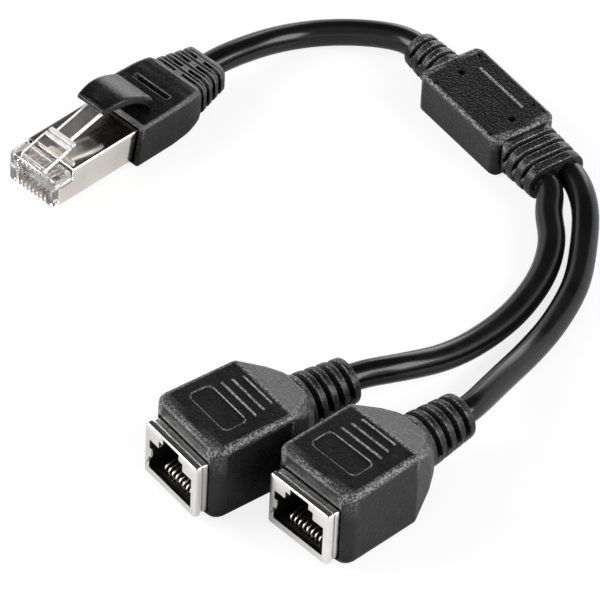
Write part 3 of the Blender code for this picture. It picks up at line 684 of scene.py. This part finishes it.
def bootGrid(v):
    # rounded rectangles with a groove across the top, then ribs that drop to a slimmer core:
    # rib + (core - rib) * depth of the groove, with the spine and the keel left standing
    columns = sectionColumns(60, 22, 24, 5)
    grooveFrom, grooveTo, grooveHalf, grooveDepth = v["groove"]
    fine = [y + s for y in (grooveFrom, grooveTo) for s in (-0.12, -0.03, 0.03, 0.12)]
    body = np.unique(np.round(np.concatenate([np.arange(18.3, 34.3, 0.4), fine]), 3))
    rows = [
        (v["front"], v["half"], 0, v["top"], 0.5),
        (27.0, v["half"], 0, v["top"], 0.55),
        (31.0, v["half"] - 0.15, 0.3, v["top"], 0.65),
        (v["rear"] - 1.2, v["half"] - 0.45, 1.0, v["top"] - 0.1, 0.8),
        (v["rear"], v["half"] - 1.0, 1.5, v["top"] - 0.3, 1.0),
    ]
    half, low, high, radius = table(body, rows)
    half, low, high = (eased(body, q, 1.2) for q in (half, low, high))
    turn = np.linspace(0, np.pi / 2, 5)[:-1]
    inset = v["frontEdge"] * (1 - np.sin(turn))
    half = np.concatenate([v["half"] - inset, half])
    low = np.concatenate([inset, low])
    high = np.concatenate([v["top"] - inset, high])
    radius = np.concatenate([0.5 + 0 * inset, radius])
    y = np.concatenate([v["front"] + v["frontEdge"] * (1 - np.cos(turn)), body])[:, None]
    x, z = sectionGrid(columns, half, low, high, radius)
    cut = softStep(y, grooveFrom - 0.1, grooveFrom + 0.08)
    cut = cut * softStep(-y, -grooveTo - 0.1, -grooveTo + 0.08)
    cut = cut * softStep(-np.abs(x), -grooveHalf - 0.2, -grooveHalf + 0.1)
    sleeve = gridOf(x, y, z - grooveDepth * cut * flatTop(columns))
    at, deep = ringRows(v["rear"] - 0.1, v["end"], v["grooves"], 0.1)
    sections = []
    for first, last in (v["ribs"], v["core"]):
        sizes = table(at, [(v["rear"], *first), (v["end"], *last)])
        sections.append(sectionGrid(columns, *sizes, v["reliefCorner"]))
    (x, z), (coreX, coreZ) = sections
    spine = 1 - softStep(np.abs(x), v["spine"] - 0.08, v["spine"] + 0.1)
    spine = np.where(np.abs(columns[3]) > 0.7, spine, 0)
    share = openShare(deep, 1 - spine)
    relief = gridOf(x + (coreX - x) * share, at[:, None], z + (coreZ - z) * share)
    half, low, high, rear = v["pocket"]
    flare = np.array([0, 0, 0.1])
    x, z = sectionGrid(columns, half + flare, low - flare, high + flare, 0.3)
    pocket = gridOf(x, np.array([[rear], [v["front"] + 0.1], [v["front"]]]), z)
    grid = np.concatenate([pocket, sleeve, relief])
    y, z = grid[..., 1], grid[..., 2]
    leaning = np.clip((z - 0.6) / (v["top"] - 0.6), 0, 1)
    leaning = leaning * np.clip((23.5 - y) / (23.5 - v["front"]), 0, 1)
    grid[..., 1] += v["lean"] * leaning
    return grid


def hoodGrid(v):
    # a curved roof over the latch whose sides only come down at the rear: each section runs over
    # the outside and back along the inside, one wall further in
    given = [row[0] for row in v["rows"]]
    at = np.concatenate([np.arange(given[0], 24.1, 0.16), given, [22.3, 22.7]])
    at = np.unique(np.round(at, 3))
    half, top, radius, low = table(at, v["rows"])
    inside = np.clip((at - 13.3) / 0.8, 0, 1) * np.clip((24.0 - at) / 0.8, 0, 1)
    top = top + (eased(at, eased(at, top, 1.8), 1.2) - top) * inside
    low = low + (eased(at, low, 1.4) - low) * inside
    innerTop = np.where(at < v["spaceEnd"], top - v["roof"], 8.25)
    innerTop = np.maximum(innerTop, low + 0.04)
    side, corner, across = 12, 12, 22
    up = np.linspace(0, 1, side, endpoint=False)[None, :]
    turn = np.linspace(0, np.pi / 2, corner, endpoint=False)[None, :]
    over = np.linspace(-1, 1, across)[None, :]

    def arched(half, top, radius, low):
        # up the left side, round its corner, over the top, and the same back on the right
        half, top, radius, low = (q[:, None] for q in (half, top, radius, low))
        sideX, sideZ = half + 0 * up, low + (top - radius - low) * up
        turnX, turnZ = half - radius * (1 - np.cos(turn)), top - radius + radius * np.sin(turn)
        left, right = gridOf(-sideX, 0, sideZ), gridOf(sideX, 0, sideZ)[:, ::-1]
        leftTurn, rightTurn = gridOf(-turnX, 0, turnZ), gridOf(turnX, 0, turnZ)[:, ::-1]
        roof = gridOf(over * (half - radius), 0, top)
        return np.concatenate([left, leftTurn, roof, rightTurn, right], 1)

    innerRadius = np.minimum(0.3, (innerTop - low) * 0.9)
    outer = arched(half, top, radius, low)
    inner = arched(half - v["wall"], innerTop, innerRadius, low)
    return np.concatenate([outer, inner[:, ::-1]], 1) + gridOf(0, at[:, None], 0)


block = {
    "half": 11.7,
    "side": 6.8,
    "height": 8.4,
    "edge": 0.6,
    "corner": 1.7,
    "axis": 4.2,
    "feedEnd": -20.5,
    "feedRadii": (3.5, 4.2),
    "feedGrooves": ((-18.95, -17.9), (-16.4, -15.35), (-13.85, -12.8)),
    "feedDepth": 0.85,
    # share of the painted edge highlight left on the relief
    "reliefPaintedHighlight": 0.45,
    "ovalEnd": 21.3,
    "ovalGrooves": ((13.4, 14.3), (16.0, 16.9), (18.6, 19.5)),
    "oval": (6.4, 3.9),  # half width and half height
    "ovalCore": (5.5, 3.1),
    "line": (6.5, 3.1, 0.25),  # half length, place across, height
    "marks": (
        # place along and across, radius, depth
        (-7.3, -0.4, 0.65, 1.1),
        (8.0, -0.4, 0.65, 1.1),
        (-9.4, 5.2, 0.42, 0.45),
        (-7.5, -5.7, 0.42, 0.45),
        (6.9, 5.3, 0.42, 0.45),
        (9.1, -5.8, 0.42, 0.45),
    ),
}


def blockGrid(v):
    # rows along x: circles from the feed's end, rounded rectangles with the line and the marks in
    # their top, then ovals: ring + (core - ring) * depth of the groove
    columns = sectionColumns(96, 14, 30, 5)
    reach, middle, edge = v["half"], v["axis"], v["edge"]
    aroundY, aroundZ = sectionGrid(columns, middle, 0, 2 * middle, 3.6)
    angle = np.arctan2(aroundZ[0] - middle, aroundY[0])
    at, deep = ringRows(v["feedEnd"], -reach, v["feedGrooves"], 0.2)
    at[-3:], deep[-3:] = [-reach - 0.3, -reach - 0.1, -reach], 0
    at = np.concatenate([[v["feedEnd"], v["feedEnd"] + 0.08, v["feedEnd"] + 0.22], at[1:]])
    deep = np.concatenate([[0.28, 0.08, 0.0], deep[1:]])
    radii = np.interp(at, [v["feedEnd"], -reach], v["feedRadii"])[:, None]
    cut = softStep(np.abs(radii * np.sin(angle)), 0.7, 0.9)
    rings = radii - v["feedDepth"] * openShare(deep, cut)
    feed = gridOf(at[:, None], rings * np.cos(angle), middle + rings * np.sin(angle))
    turn = np.array([0.0, 0.05, 0.13, 0.25, 0.4, 0.6, 0.85, 1.15, 1.45, 1.7])
    lineHalf, lineY, lineUp = v["line"]
    fine = [m[0] + s for m in v["marks"] for s in np.linspace(-m[2] - 0.1, m[2] + 0.1, 9)]
    fine += [end + s for end in (-lineHalf, lineHalf) for s in (-0.12, 0.0, 0.12)]
    inner = np.concatenate([np.arange(2.0 - reach, reach - 1.9, 0.3), fine])
    inner = inner[np.abs(inner) < reach - 1.75]
    body = np.unique(np.round(np.concatenate([turn - reach, inner, reach - turn]), 2))
    gap = reach - np.abs(body)
    half, inset = v["side"] - roundOff(gap, v["corner"]), roundOff(gap, edge)
    y, z = sectionGrid(columns, half, inset, v["height"] - inset, edge)
    x = body[:, None]
    line = softStep(-np.abs(x), -lineHalf - 0.06, -lineHalf + 0.06)
    lift = lineUp * softStep(-np.abs(y - lineY), -0.3, -0.12) * line
    for px, py, radius, depth in v["marks"]:
        away = np.hypot(x - px, y - py)
        lift -= depth * softStep(-away, -radius - 0.06, -radius + 0.1)
    box = gridOf(x, y, z + lift * flatTop(columns))
    at, deep = ringRows(reach, v["ovalEnd"], v["ovalGrooves"], 0.22)
    at, deep = at[1:], deep[1:]
    shrink = np.interp(at, [reach, v["ovalEnd"]], [0.0, 0.35])
    ovals = []
    for wide, tall in (v["oval"], v["ovalCore"]):
        wide, tall = wide - shrink, tall - shrink
        ovals.append(sectionGrid(columns, wide, middle - tall, middle + tall, tall - 0.3))
    (y, z), (coreY, coreZ) = ovals
    share = openShare(deep, softStep(np.abs(z - middle), 0.7, 0.95))
    oval = gridOf(at[:, None], y + (coreY - y) * share, z + (coreZ - z) * share)
    return np.concatenate([feed, box, oval])


for i in (1, 2):
    grid = housingGrid(housing)
    # the painted edge highlight: full on the body, a share on the relief
    paintedHighlight = [paintedHighlightShare(grid, 1, housing["taper"][-1][0] + 0.1, housing["reliefPaintedHighlight"])]
    mesh = meshFrom(f"jack{i}Housing", [(grid, capped)], f"jack{i}", paintedHighlight)
    addPiece(f"jack{i}Housing", mesh, moulding, (f"jack_{i}_housing",))
shells = [(bootGrid(boot), capped), (hoodGrid(hood), capped)]
mesh = meshFrom("plugBoot", shells, "plug", [1.0, hood["paintedHighlight"]])
addPiece("plugBoot", mesh, bootMoulding, ("plug_boot",))
grid = blockGrid(block)
# the painted edge highlight: full on the body, a share on the relief, none round the marks
paintedHighlight = [paintedHighlightShare(grid, 0, block["half"] + 0.1, block["reliefPaintedHighlight"], block["marks"])]
mesh = meshFrom("splitterBlock", [(grid, capped)], "block", paintedHighlight)
addPiece("splitterBlock", mesh, blockMoulding, ("splitter_block",))
print("mouldings made")

face = {
    "half": 7.35,
    "low": 1.3,
    "high": 12.7,
    "front": -2.6,
    "rim": 1.1,
    "shellHalf": 7.15,
    "shellLow": 1.5,
    "shellHigh": 12.5,
    "wall": 0.35,
    "rear": 12.0,
    "socketLow": 2.9,
    "opening": (
        # column of the plate's edge that each corner belongs to, its place across and its height
        (0, 6.05, 6.5), (2, 3.4, 6.5), (4, 3.4, 8.1), (8, 2.25, 8.1), (10, 2.25, 9.4),
        (22, -2.25, 9.4), (24, -2.25, 8.1), (28, -3.4, 8.1), (30, -3.4, 6.5), (32, -6.05, 6.5),
        (36, -6.05, 4.6), (37, -5.45, 4.6), (40, -5.45, 2.6), (41, -6.05, 2.6), (44, -6.05, 0.0),
        (60, 6.05, 0.0),
    ),
}


def faceGrid(v):
    # loops from the shell's rear over the plate's rim to the opening, and back inside the shell
    columns = sectionColumns(23, 9, 11, 4)
    count = columns.shape[1]
    openX, openZ = table(np.arange(count), [*v["opening"], (count, *v["opening"][0][1:])])
    openZ = openZ + v["socketLow"]
    front, rim = v["front"], v["rim"]
    shell = (v["shellHalf"], v["shellLow"], v["shellHigh"], 0.5)
    plate = (v["half"], v["low"], v["high"], 0.55)
    wall = v["wall"]
    inside = (v["shellHalf"] - wall, v["shellLow"] + wall, v["shellHigh"] - wall, 0.3)
    steps = [
        (v["rear"], shell, 0.0),
        (front + rim + 0.55, shell, 0.0),
        (front + rim + 0.5, shell, 0.3),
        (front + rim + 0.02, shell, 0.3),
        (front + rim, plate, 0.06),
        (front + rim - 0.06, plate, 0.0),
        (front + 0.3, plate, 0.0),
        (front + 0.14, plate, 0.05),
        (front + 0.05, plate, 0.14),
        (front, plate, 0.32),
    ]
    rows = []
    for y, (half, low, high, radius), inset in steps:
        radius = max(radius - inset, 0.1)
        x, z = sectionGrid(columns, half - inset, low + inset, high - inset, radius)
        rows.append(gridOf(x[0], y, z[0]))
    for y in (front, front + 0.34):
        rows.append(gridOf(openX, y, openZ))
    for y in (front + 0.4, v["rear"]):
        x, z = sectionGrid(columns, *inside)
        rows.append(gridOf(x[0], y, z[0]))
    return np.array(rows)


leaf = {
    "from": -2.15,
    "length": 5.35,
    "low": 6.6,
    "high": 9.0,
    "out": 6.5,
    "bow": 0.85,
    "thick": 0.16,
}


def leafGrid(v, side):
    # a spring leaf of the shell, bowed into the socket: depth sin^2 along its length
    along = np.linspace(0, v["length"], 26)[:, None]
    bow = v["bow"] * np.sin(np.pi * along / v["length"]) ** 2
    z = np.linspace(v["low"], v["high"], 9)
    outer = gridOf(side * (v["out"] - bow), v["from"] + along, z)
    inner = outer + [side * v["thick"], 0, 0]
    return np.concatenate([outer, inner[:, ::-1]], 1)


contact = {
    "pitch": 1.02,
    "radius": 0.19,
    "step": 0.149,
    "route": [
        (11.2, 2.5), (0.1, 2.5), (-0.6, 2.8), (-0.9, 3.5), (-0.6, 4.1), (0.4, 4.4), (8.3, 5.9)
    ],
}


def easedRoute(route, step):
    # evenly spaced points along a (y, z) route, its corners rounded by a moving average
    y, z = np.array(route, float).T
    run = np.concatenate([[0], np.cumsum(np.hypot(np.diff(y), np.diff(z)))])
    even = np.linspace(0, run[-1], max(4, int(run[-1] / step)))
    y, z = (eased(even, np.interp(even, run, q), min(0.7, run[-1] * 0.4)) for q in (y, z))
    slope = np.stack([np.gradient(y), np.gradient(z)], -1)
    slope /= np.linalg.norm(slope, axis=1)[:, None]
    return y[:, None], z[:, None], slope


def contactGrid(v, x):
    # one spring wire: a circle square to its route at each point
    y, z, slope = easedRoute(v["route"], v["step"])
    a = np.linspace(0, 2 * np.pi, 12, endpoint=False)
    across, out = v["radius"] * np.cos(a), v["radius"] * np.sin(a)
    return gridOf(x + across, y - slope[:, 1:] * out, z + slope[:, :1] * out)


pinPlaces = [(i - 3.5) * contact["pitch"] for i in range(8)]
for i in (1, 2):
    shells = [(faceGrid(face), looped)] + [(leafGrid(leaf, side), capped) for side in (1, -1)]
    mesh = meshFrom(f"jack{i}Face", shells, f"jack{i}")
    addPiece(f"jack{i}Face", mesh, faceMetal, (f"jack_{i}_shield",), 25)
    wires = [(contactGrid(contact, x), capped) for x in pinPlaces]
    mesh = meshFrom(f"jack{i}Contacts", wires, f"jack{i}")
    addPiece(f"jack{i}Contacts", mesh, springMetal, [f"jack_{i}_contact_{n}" for n in range(1, 9)])
print("socket faces made")

plugShell = {
    "half": 5.95,
    "low": 0.8,
    "high": 7.4,
    "wall": 0.3,
    "rear": 25.0,
    "front": -0.1,
    "topFront": 3.45,
    "stepZ": 4.72,
}
plugNose = {
    "front": -1.3,
    "seam": 4.72,
    "low": (5.6, 0.9, 4.0),  # half width, lower side, rear
    "high": (5.83, 7.0, 3.2),  # half width, upper side, rear
    "slot": (0.34, 3.6),  # half width and top of each blade slot
    "pits": ((-2.82, 1.59), (0.43, 1.29)),  # marks of the mould's pins in the top
    "pitRadius": 0.45,
    "pitDepth": 0.6,
    "blade": (0.15, -0.95, 5.8, 1.25, 3.4),  # half width, front, rear, lower and upper side
}
latch = {
    "arm": [
        (-0.78, 6.9), (-0.85, 7.45), (-0.72, 7.85), (-0.3, 8.05), (0.4, 8.26), (2.7, 8.87),
        (4.7, 9.4),
    ],
    "armHalf": 3.3,
    "armDepth": (-0.45, 0.1),  # lower and upper side of its rails, from the route
    "rail": 0.34,
    "bars": (1.15, 2.7),
    "shoulder": [(4.62, 9.42), (5.5, 9.58)],
    "ridge": [(5.62, 9.72), (6.6, 9.9)],
    "shoulderHalf": 3.25,
    "tab": [(6.4, 9.85), (10.2, 10.78), (13.6, 11.6), (14.6, 11.72)],
    "tabHalf": 1.9,
    "tabDepth": (-0.55, 0.25),
}


def boxLoop(half, low, high, radius, sides, tops, bottoms):
    # points round a rounded box: right side up, over the top, left side down, back along the bottom
    turn = np.linspace(0, np.pi / 2, 6)
    cos, sin = np.cos(turn) * radius, np.sin(turn) * radius
    x = [half + 0 * sides, half - radius + cos, tops[::-1], -half + radius - sin, -half + 0 * sides]
    z = [sides, high - radius + sin, high + 0 * tops, high - radius + cos, sides[::-1]]
    x += [-half + radius - cos, bottoms, half - radius + sin]
    z += [low + radius - sin, low + 0 * bottoms, low + radius - cos]
    return np.concatenate(x), np.concatenate(z)


def plugShellGrid(v):
    # round the section, each column starts at its own front edge
    step = v["stepZ"]
    curve = step + np.array([-0.02, 0.0, 0.04, 0.14, 0.3, 0.55, 0.9])
    sides = np.concatenate([[1.5, 2.5, 3.5, 4.4], curve, [6.0, 6.6]])
    tops = np.linspace(-5.2, 5.2, 30)
    bottoms = np.array([-5.0, -4.62, -4.6, -3.0, 0.0, 3.0, 4.6, 4.62, 5.0])
    x, z = boxLoop(v["half"], v["low"], v["high"], 0.45, sides, tops, bottoms)
    front = np.where(z >= step, v["topFront"] - roundOff(np.maximum(z - step, 0), 0.9), v["front"])
    front = np.where((z < v["low"] + 0.01) & (np.abs(x) < 4.61), 7.0, front)
    y = front + (v["rear"] - front) * np.linspace(0, 1, 40)[:, None]
    outer = gridOf(x, y, z)
    half, low, high = v["half"] - v["wall"], v["low"] + v["wall"], v["high"] - v["wall"]
    x, z = boxLoop(half, low, high, 0.2, sides, tops * 0.97, bottoms * 0.97)
    return np.concatenate([outer, gridOf(x, y, z)[::-1]])


def noseGrids(v):
    # the lower half has a comb of slots for the blades; both halves have rounded front edges
    half, low, rear = v["low"]
    slotHalf, slotTop = v["slot"]
    slotIn = slotHalf - 0.02
    slot = [(-slotHalf, low), (-slotIn, slotTop), (slotIn, slotTop), (slotHalf, low)]
    comb = [(x + s, z) for x in pinPlaces for s, z in slot]
    seam, front = v["seam"] - 0.03, v["front"]
    left = [(-half, seam), (-half, low + 0.3), (0.3 - half, low)]
    right = [(-x, z) for x, z in left[::-1]]
    x, z = np.array(left + comb + right).T
    y = np.array([front, front + 0.06, front + 0.2, 0.0, 2.0, rear])[:, None]
    inset = np.array([0.16, 0.06, 0.0, 0.0, 0.0, 0.0])[:, None]
    lower = gridOf(x * (1 - inset / half), y, z + inset * 0.5 * (2.8 - z) / 1.9)
    half, high, rear = v["high"]
    columns = sectionColumns(80, 4, 10, 4)
    frontRows, rearRows = front + np.array([0.1, 0.16, 0.32]), rear - np.array([0.5, 0.2, 0])
    y = np.concatenate([frontRows, np.arange(front + 0.6, rear - 0.5, 0.13), rearRows])
    inset = np.interp(y, [*y[:4], *y[-3:]], [0.5, 0.24, 0.08, 0.0, 0.0, 0.1, 0.35])
    x, z = sectionGrid(columns, half - inset, v["seam"] + 0.03, high - inset, 0.3)
    for px, py in v["pits"]:
        away = np.hypot(x - px, y[:, None] - py)
        z = z - v["pitDepth"] * softStep(-away, -v["pitRadius"], -0.2) * flatTop(columns)
    return [(lower, capped), (gridOf(x, y[:, None], z), capped)]


def beam(route, left, right, down, up, bevel=0.09, step=0.2):
    # a bar along a (y, z) route: each section is a rectangle with cut corners, square to the route
    y, z, slope = easedRoute(route, step)
    b = min(bevel, (right - left) * 0.3, (up - down) * 0.3)
    x = np.array([left + b, right - b, right, right, right - b, left + b, left, left])
    out = np.array([down, down, down + b, up - b, up, up, up - b, down + b])
    grid = gridOf(x, y - slope[:, 1:] * out, z + slope[:, :1] * out)
    middle = grid.mean(axis=1, keepdims=True)
    tips = [middle[[i]] + (grid[[i]] - middle[[i]]) * 0.75 for i in (0, -1)]
    grid[0, :, 1:] += slope[0] * b
    grid[-1, :, 1:] -= slope[-1] * b
    return np.concatenate([tips[0], grid, tips[1]]), capped


def pointsOn(route, places):
    # the points of a (y, z) route at the given places along y
    y, z = np.array(route, float).T
    return list(zip(places, np.interp(places, y, z)))


mesh = meshFrom("plugShell", [(plugShellGrid(plugShell), looped)], "plug")
addPiece("plugShell", mesh, shellMetal, ("plug_shield",), 30)
mesh = meshFrom("plugNose", noseGrids(plugNose), "plug")
addPiece("plugNose", mesh, noseClear, ("plug_body",), 25)
arm, tab, rail = latch["arm"], latch["tab"], latch["rail"]
armHalf, tabHalf, half = latch["armHalf"], latch["tabHalf"], latch["shoulderHalf"]
armPanel, tabPanel = armHalf - rail - 0.02, tabHalf - rail - 0.02
panels = [beam(arm, -armPanel, armPanel, -0.4, -0.05), beam(tab, -tabPanel, tabPanel, -0.4, 0.0)]
shoulder = [
    beam(latch["shoulder"], -half, half, -0.42, 0.14, 0.12, 0.1),
    beam(latch["ridge"], 0.15 - half, half - 0.15, -0.5, 0.22, 0.14, 0.1),
]
edges = []
for route, wide, depth in ((arm, armHalf, latch["armDepth"]), (tab, tabHalf, latch["tabDepth"])):
    edges.append(beam(route, -wide, rail - wide, *depth))
    edges.append(beam(route, wide - rail, wide, *depth))
for place in latch["bars"]:
    bar = pointsOn(arm[3:], [place - 0.08, place, place + 0.08])
    edges.append(beam(bar, -armPanel, armPanel, -0.04, 0.08, 0.03, 0.1))
latchPieces = {
    "plugLatchPanels": (panels, panelClear),
    "plugLatchShoulder": (shoulder, shoulderClearPaintedHighlight),
    "plugLatchEdges": (edges, edgeClearPaintedHighlight),
}
for name, (beams, finish) in latchPieces.items():
    addPiece(name, meshFrom(name, beams, "plug"), finish, (), 25)
half, front, rear, low, high = plugNose["blade"]
middle, reach = (low + high) / 2, (high - low) / 2
route = [(front, middle), (0.0, middle), (rear, middle)]
blades = [beam(route, x - half, x + half, -reach, reach, 0.05, 1.0) for x in pinPlaces]
mesh = meshFrom("plugBlades", blades, "plug")
addPiece("plugBlades", mesh, bladeMetal, [f"plug_contact_{n}" for n in range(1, 9)], 25)
print("plug made")

# nodes that keep their CAD mesh get a finish
wireColours = {
    1: (0.8, 0.5, 0.3),
    2: (0.85, 0.3, 0.05),
    3: (0.55, 0.75, 0.55),
    4: (0.05, 0.15, 0.6),
    5: (0.5, 0.6, 0.8),
    6: (0.05, 0.4, 0.12),
    7: (0.7, 0.6, 0.5),
    8: (0.25, 0.12, 0.05),
}
stay = {"insert": innerPlastic, "board": boardGreen, "load_bar": noseClear}
for i, colour in wireColours.items():
    stay[f"plug_wire_{i}"] = wireCover(f"wireCover{i}", colour)
for name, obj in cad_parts.items():
    for part, finish in stay.items():
        if part in name:
            obj.data.materials.clear()
            obj.data.materials.append(finish)
print("finishes done")

stageSet = {
    "floor": (2.5, -0.00002),  # half its side, and its height, in metres
    "shadow": 0.24,  # share of the floor's brightness that the object can shade
    "white": 1.08,
    "band": 1.0,  # bright walls round the object, up to about 30 degrees
    "sky": 0.42,  # ceiling on the camera's side
    "dark": 0.06,  # ceiling behind, which the flat tops mirror
    "middle": (0.02, -0.05, 0),  # what the lamps are set round, in metres
    "lamps": (
        # direction from the object, size and distance in metres, power in watts
        ("frontLeft", (-0.566, -0.677, 0.47), 0.5, 0.85, 6.5),
        ("backRight", (0.677, 0.47, 0.566), 0.45, 0.85, 5.0),
        ("backLow", (-0.566, 0.8, 0.2), 0.5, 0.95, 1.7),
    ),
}


def makeStage(v):
    # floor, sky and lamps round the object
    mesh = bpy.data.meshes.new("floor")
    size, low = v["floor"]
    corners = [(-size, -size, low), (size, -size, low), (size, size, low), (-size, size, low)]
    mesh.from_pydata(corners, [], [(0, 1, 2, 3)])
    floor = bpy.data.objects.new("floor", mesh)
    bpy.context.scene.collection.objects.link(floor)
    material, tree, shader = newMaterial("floorPaper", (0.86, 0.86, 0.86), 0.0, 0.6)
    floor.data.materials.append(material)
    # seen by the camera and through clear plastic, the floor is white with a faint shadow
    glow = tree.nodes.new("ShaderNodeEmission")
    setInputs(glow, {"Strength": v["white"]})
    path = tree.nodes.new("ShaderNodeLightPath")
    rays = (path.outputs["Is Camera Ray"], path.outputs["Is Transmission Ray"])
    seen = mathNode(tree, "MAXIMUM", *rays)
    share = mathNode(tree, "MULTIPLY", seen, 1 - v["shadow"])
    mix = tree.nodes.new("ShaderNodeMixShader")
    tree.links.new(share, mix.inputs["Fac"])
    tree.links.new(shader.outputs[0], mix.inputs[1])
    tree.links.new(glow.outputs[0], mix.inputs[2])
    tree.links.new(mix.outputs[0], tree.nodes["Material Output"].inputs["Surface"])
    world = bpy.data.worlds.new("studio")
    bpy.context.scene.world = world
    world.use_nodes = True
    tree = world.node_tree
    place = tree.nodes.new("ShaderNodeTexCoord")
    split = tree.nodes.new("ShaderNodeSeparateXYZ")
    tree.links.new(place.outputs["Generated"], split.inputs[0])
    # the ceiling darkens from the camera's side to the far side: -0.77 x + 0.64 y
    alongX = mathNode(tree, "MULTIPLY", split.outputs["X"], -0.77)
    alongY = mathNode(tree, "MULTIPLY", split.outputs["Y"], 0.64)
    away = mathNode(tree, "ADD", alongX, alongY)
    ceiling = spread(tree, away, v["sky"], v["dark"], -0.25, 0.2)
    band = spread(tree, split.outputs["Z"], 1.0, 0.0, 0.4, 0.56)
    lift = mathNode(tree, "MULTIPLY", band, mathNode(tree, "SUBTRACT", v["band"], ceiling))
    tone = mathNode(tree, "ADD", ceiling, lift)
    backdrop = tree.nodes["Background"]
    tree.links.new(tone, backdrop.inputs["Color"])
    white = tree.nodes.new("ShaderNodeBackground")
    setInputs(white, {"Color": (1, 1, 1, 1)})
    path = tree.nodes.new("ShaderNodeLightPath")
    mix = tree.nodes.new("ShaderNodeMixShader")
    tree.links.new(path.outputs["Is Camera Ray"], mix.inputs["Fac"])
    tree.links.new(backdrop.outputs[0], mix.inputs[1])
    tree.links.new(white.outputs[0], mix.inputs[2])
    tree.links.new(mix.outputs[0], tree.nodes["World Output"].inputs["Surface"])
    for name, way, size, far, power in v["lamps"]:
        lamp = bpy.data.lights.new(name, "AREA")
        lamp.energy = power
        lamp.size = size
        obj = bpy.data.objects.new(name, lamp)
        way = Vector(way).normalized()
        turn = way.to_track_quat("Z", "Y").to_matrix().to_4x4()
        obj.matrix_world = Matrix.Translation(way * far + Vector(v["middle"])) @ turn
        bpy.context.scene.collection.objects.link(obj)


makeStage(stageSet)
bpy.context.scene.view_settings.view_transform = "Standard"
print("stage made")
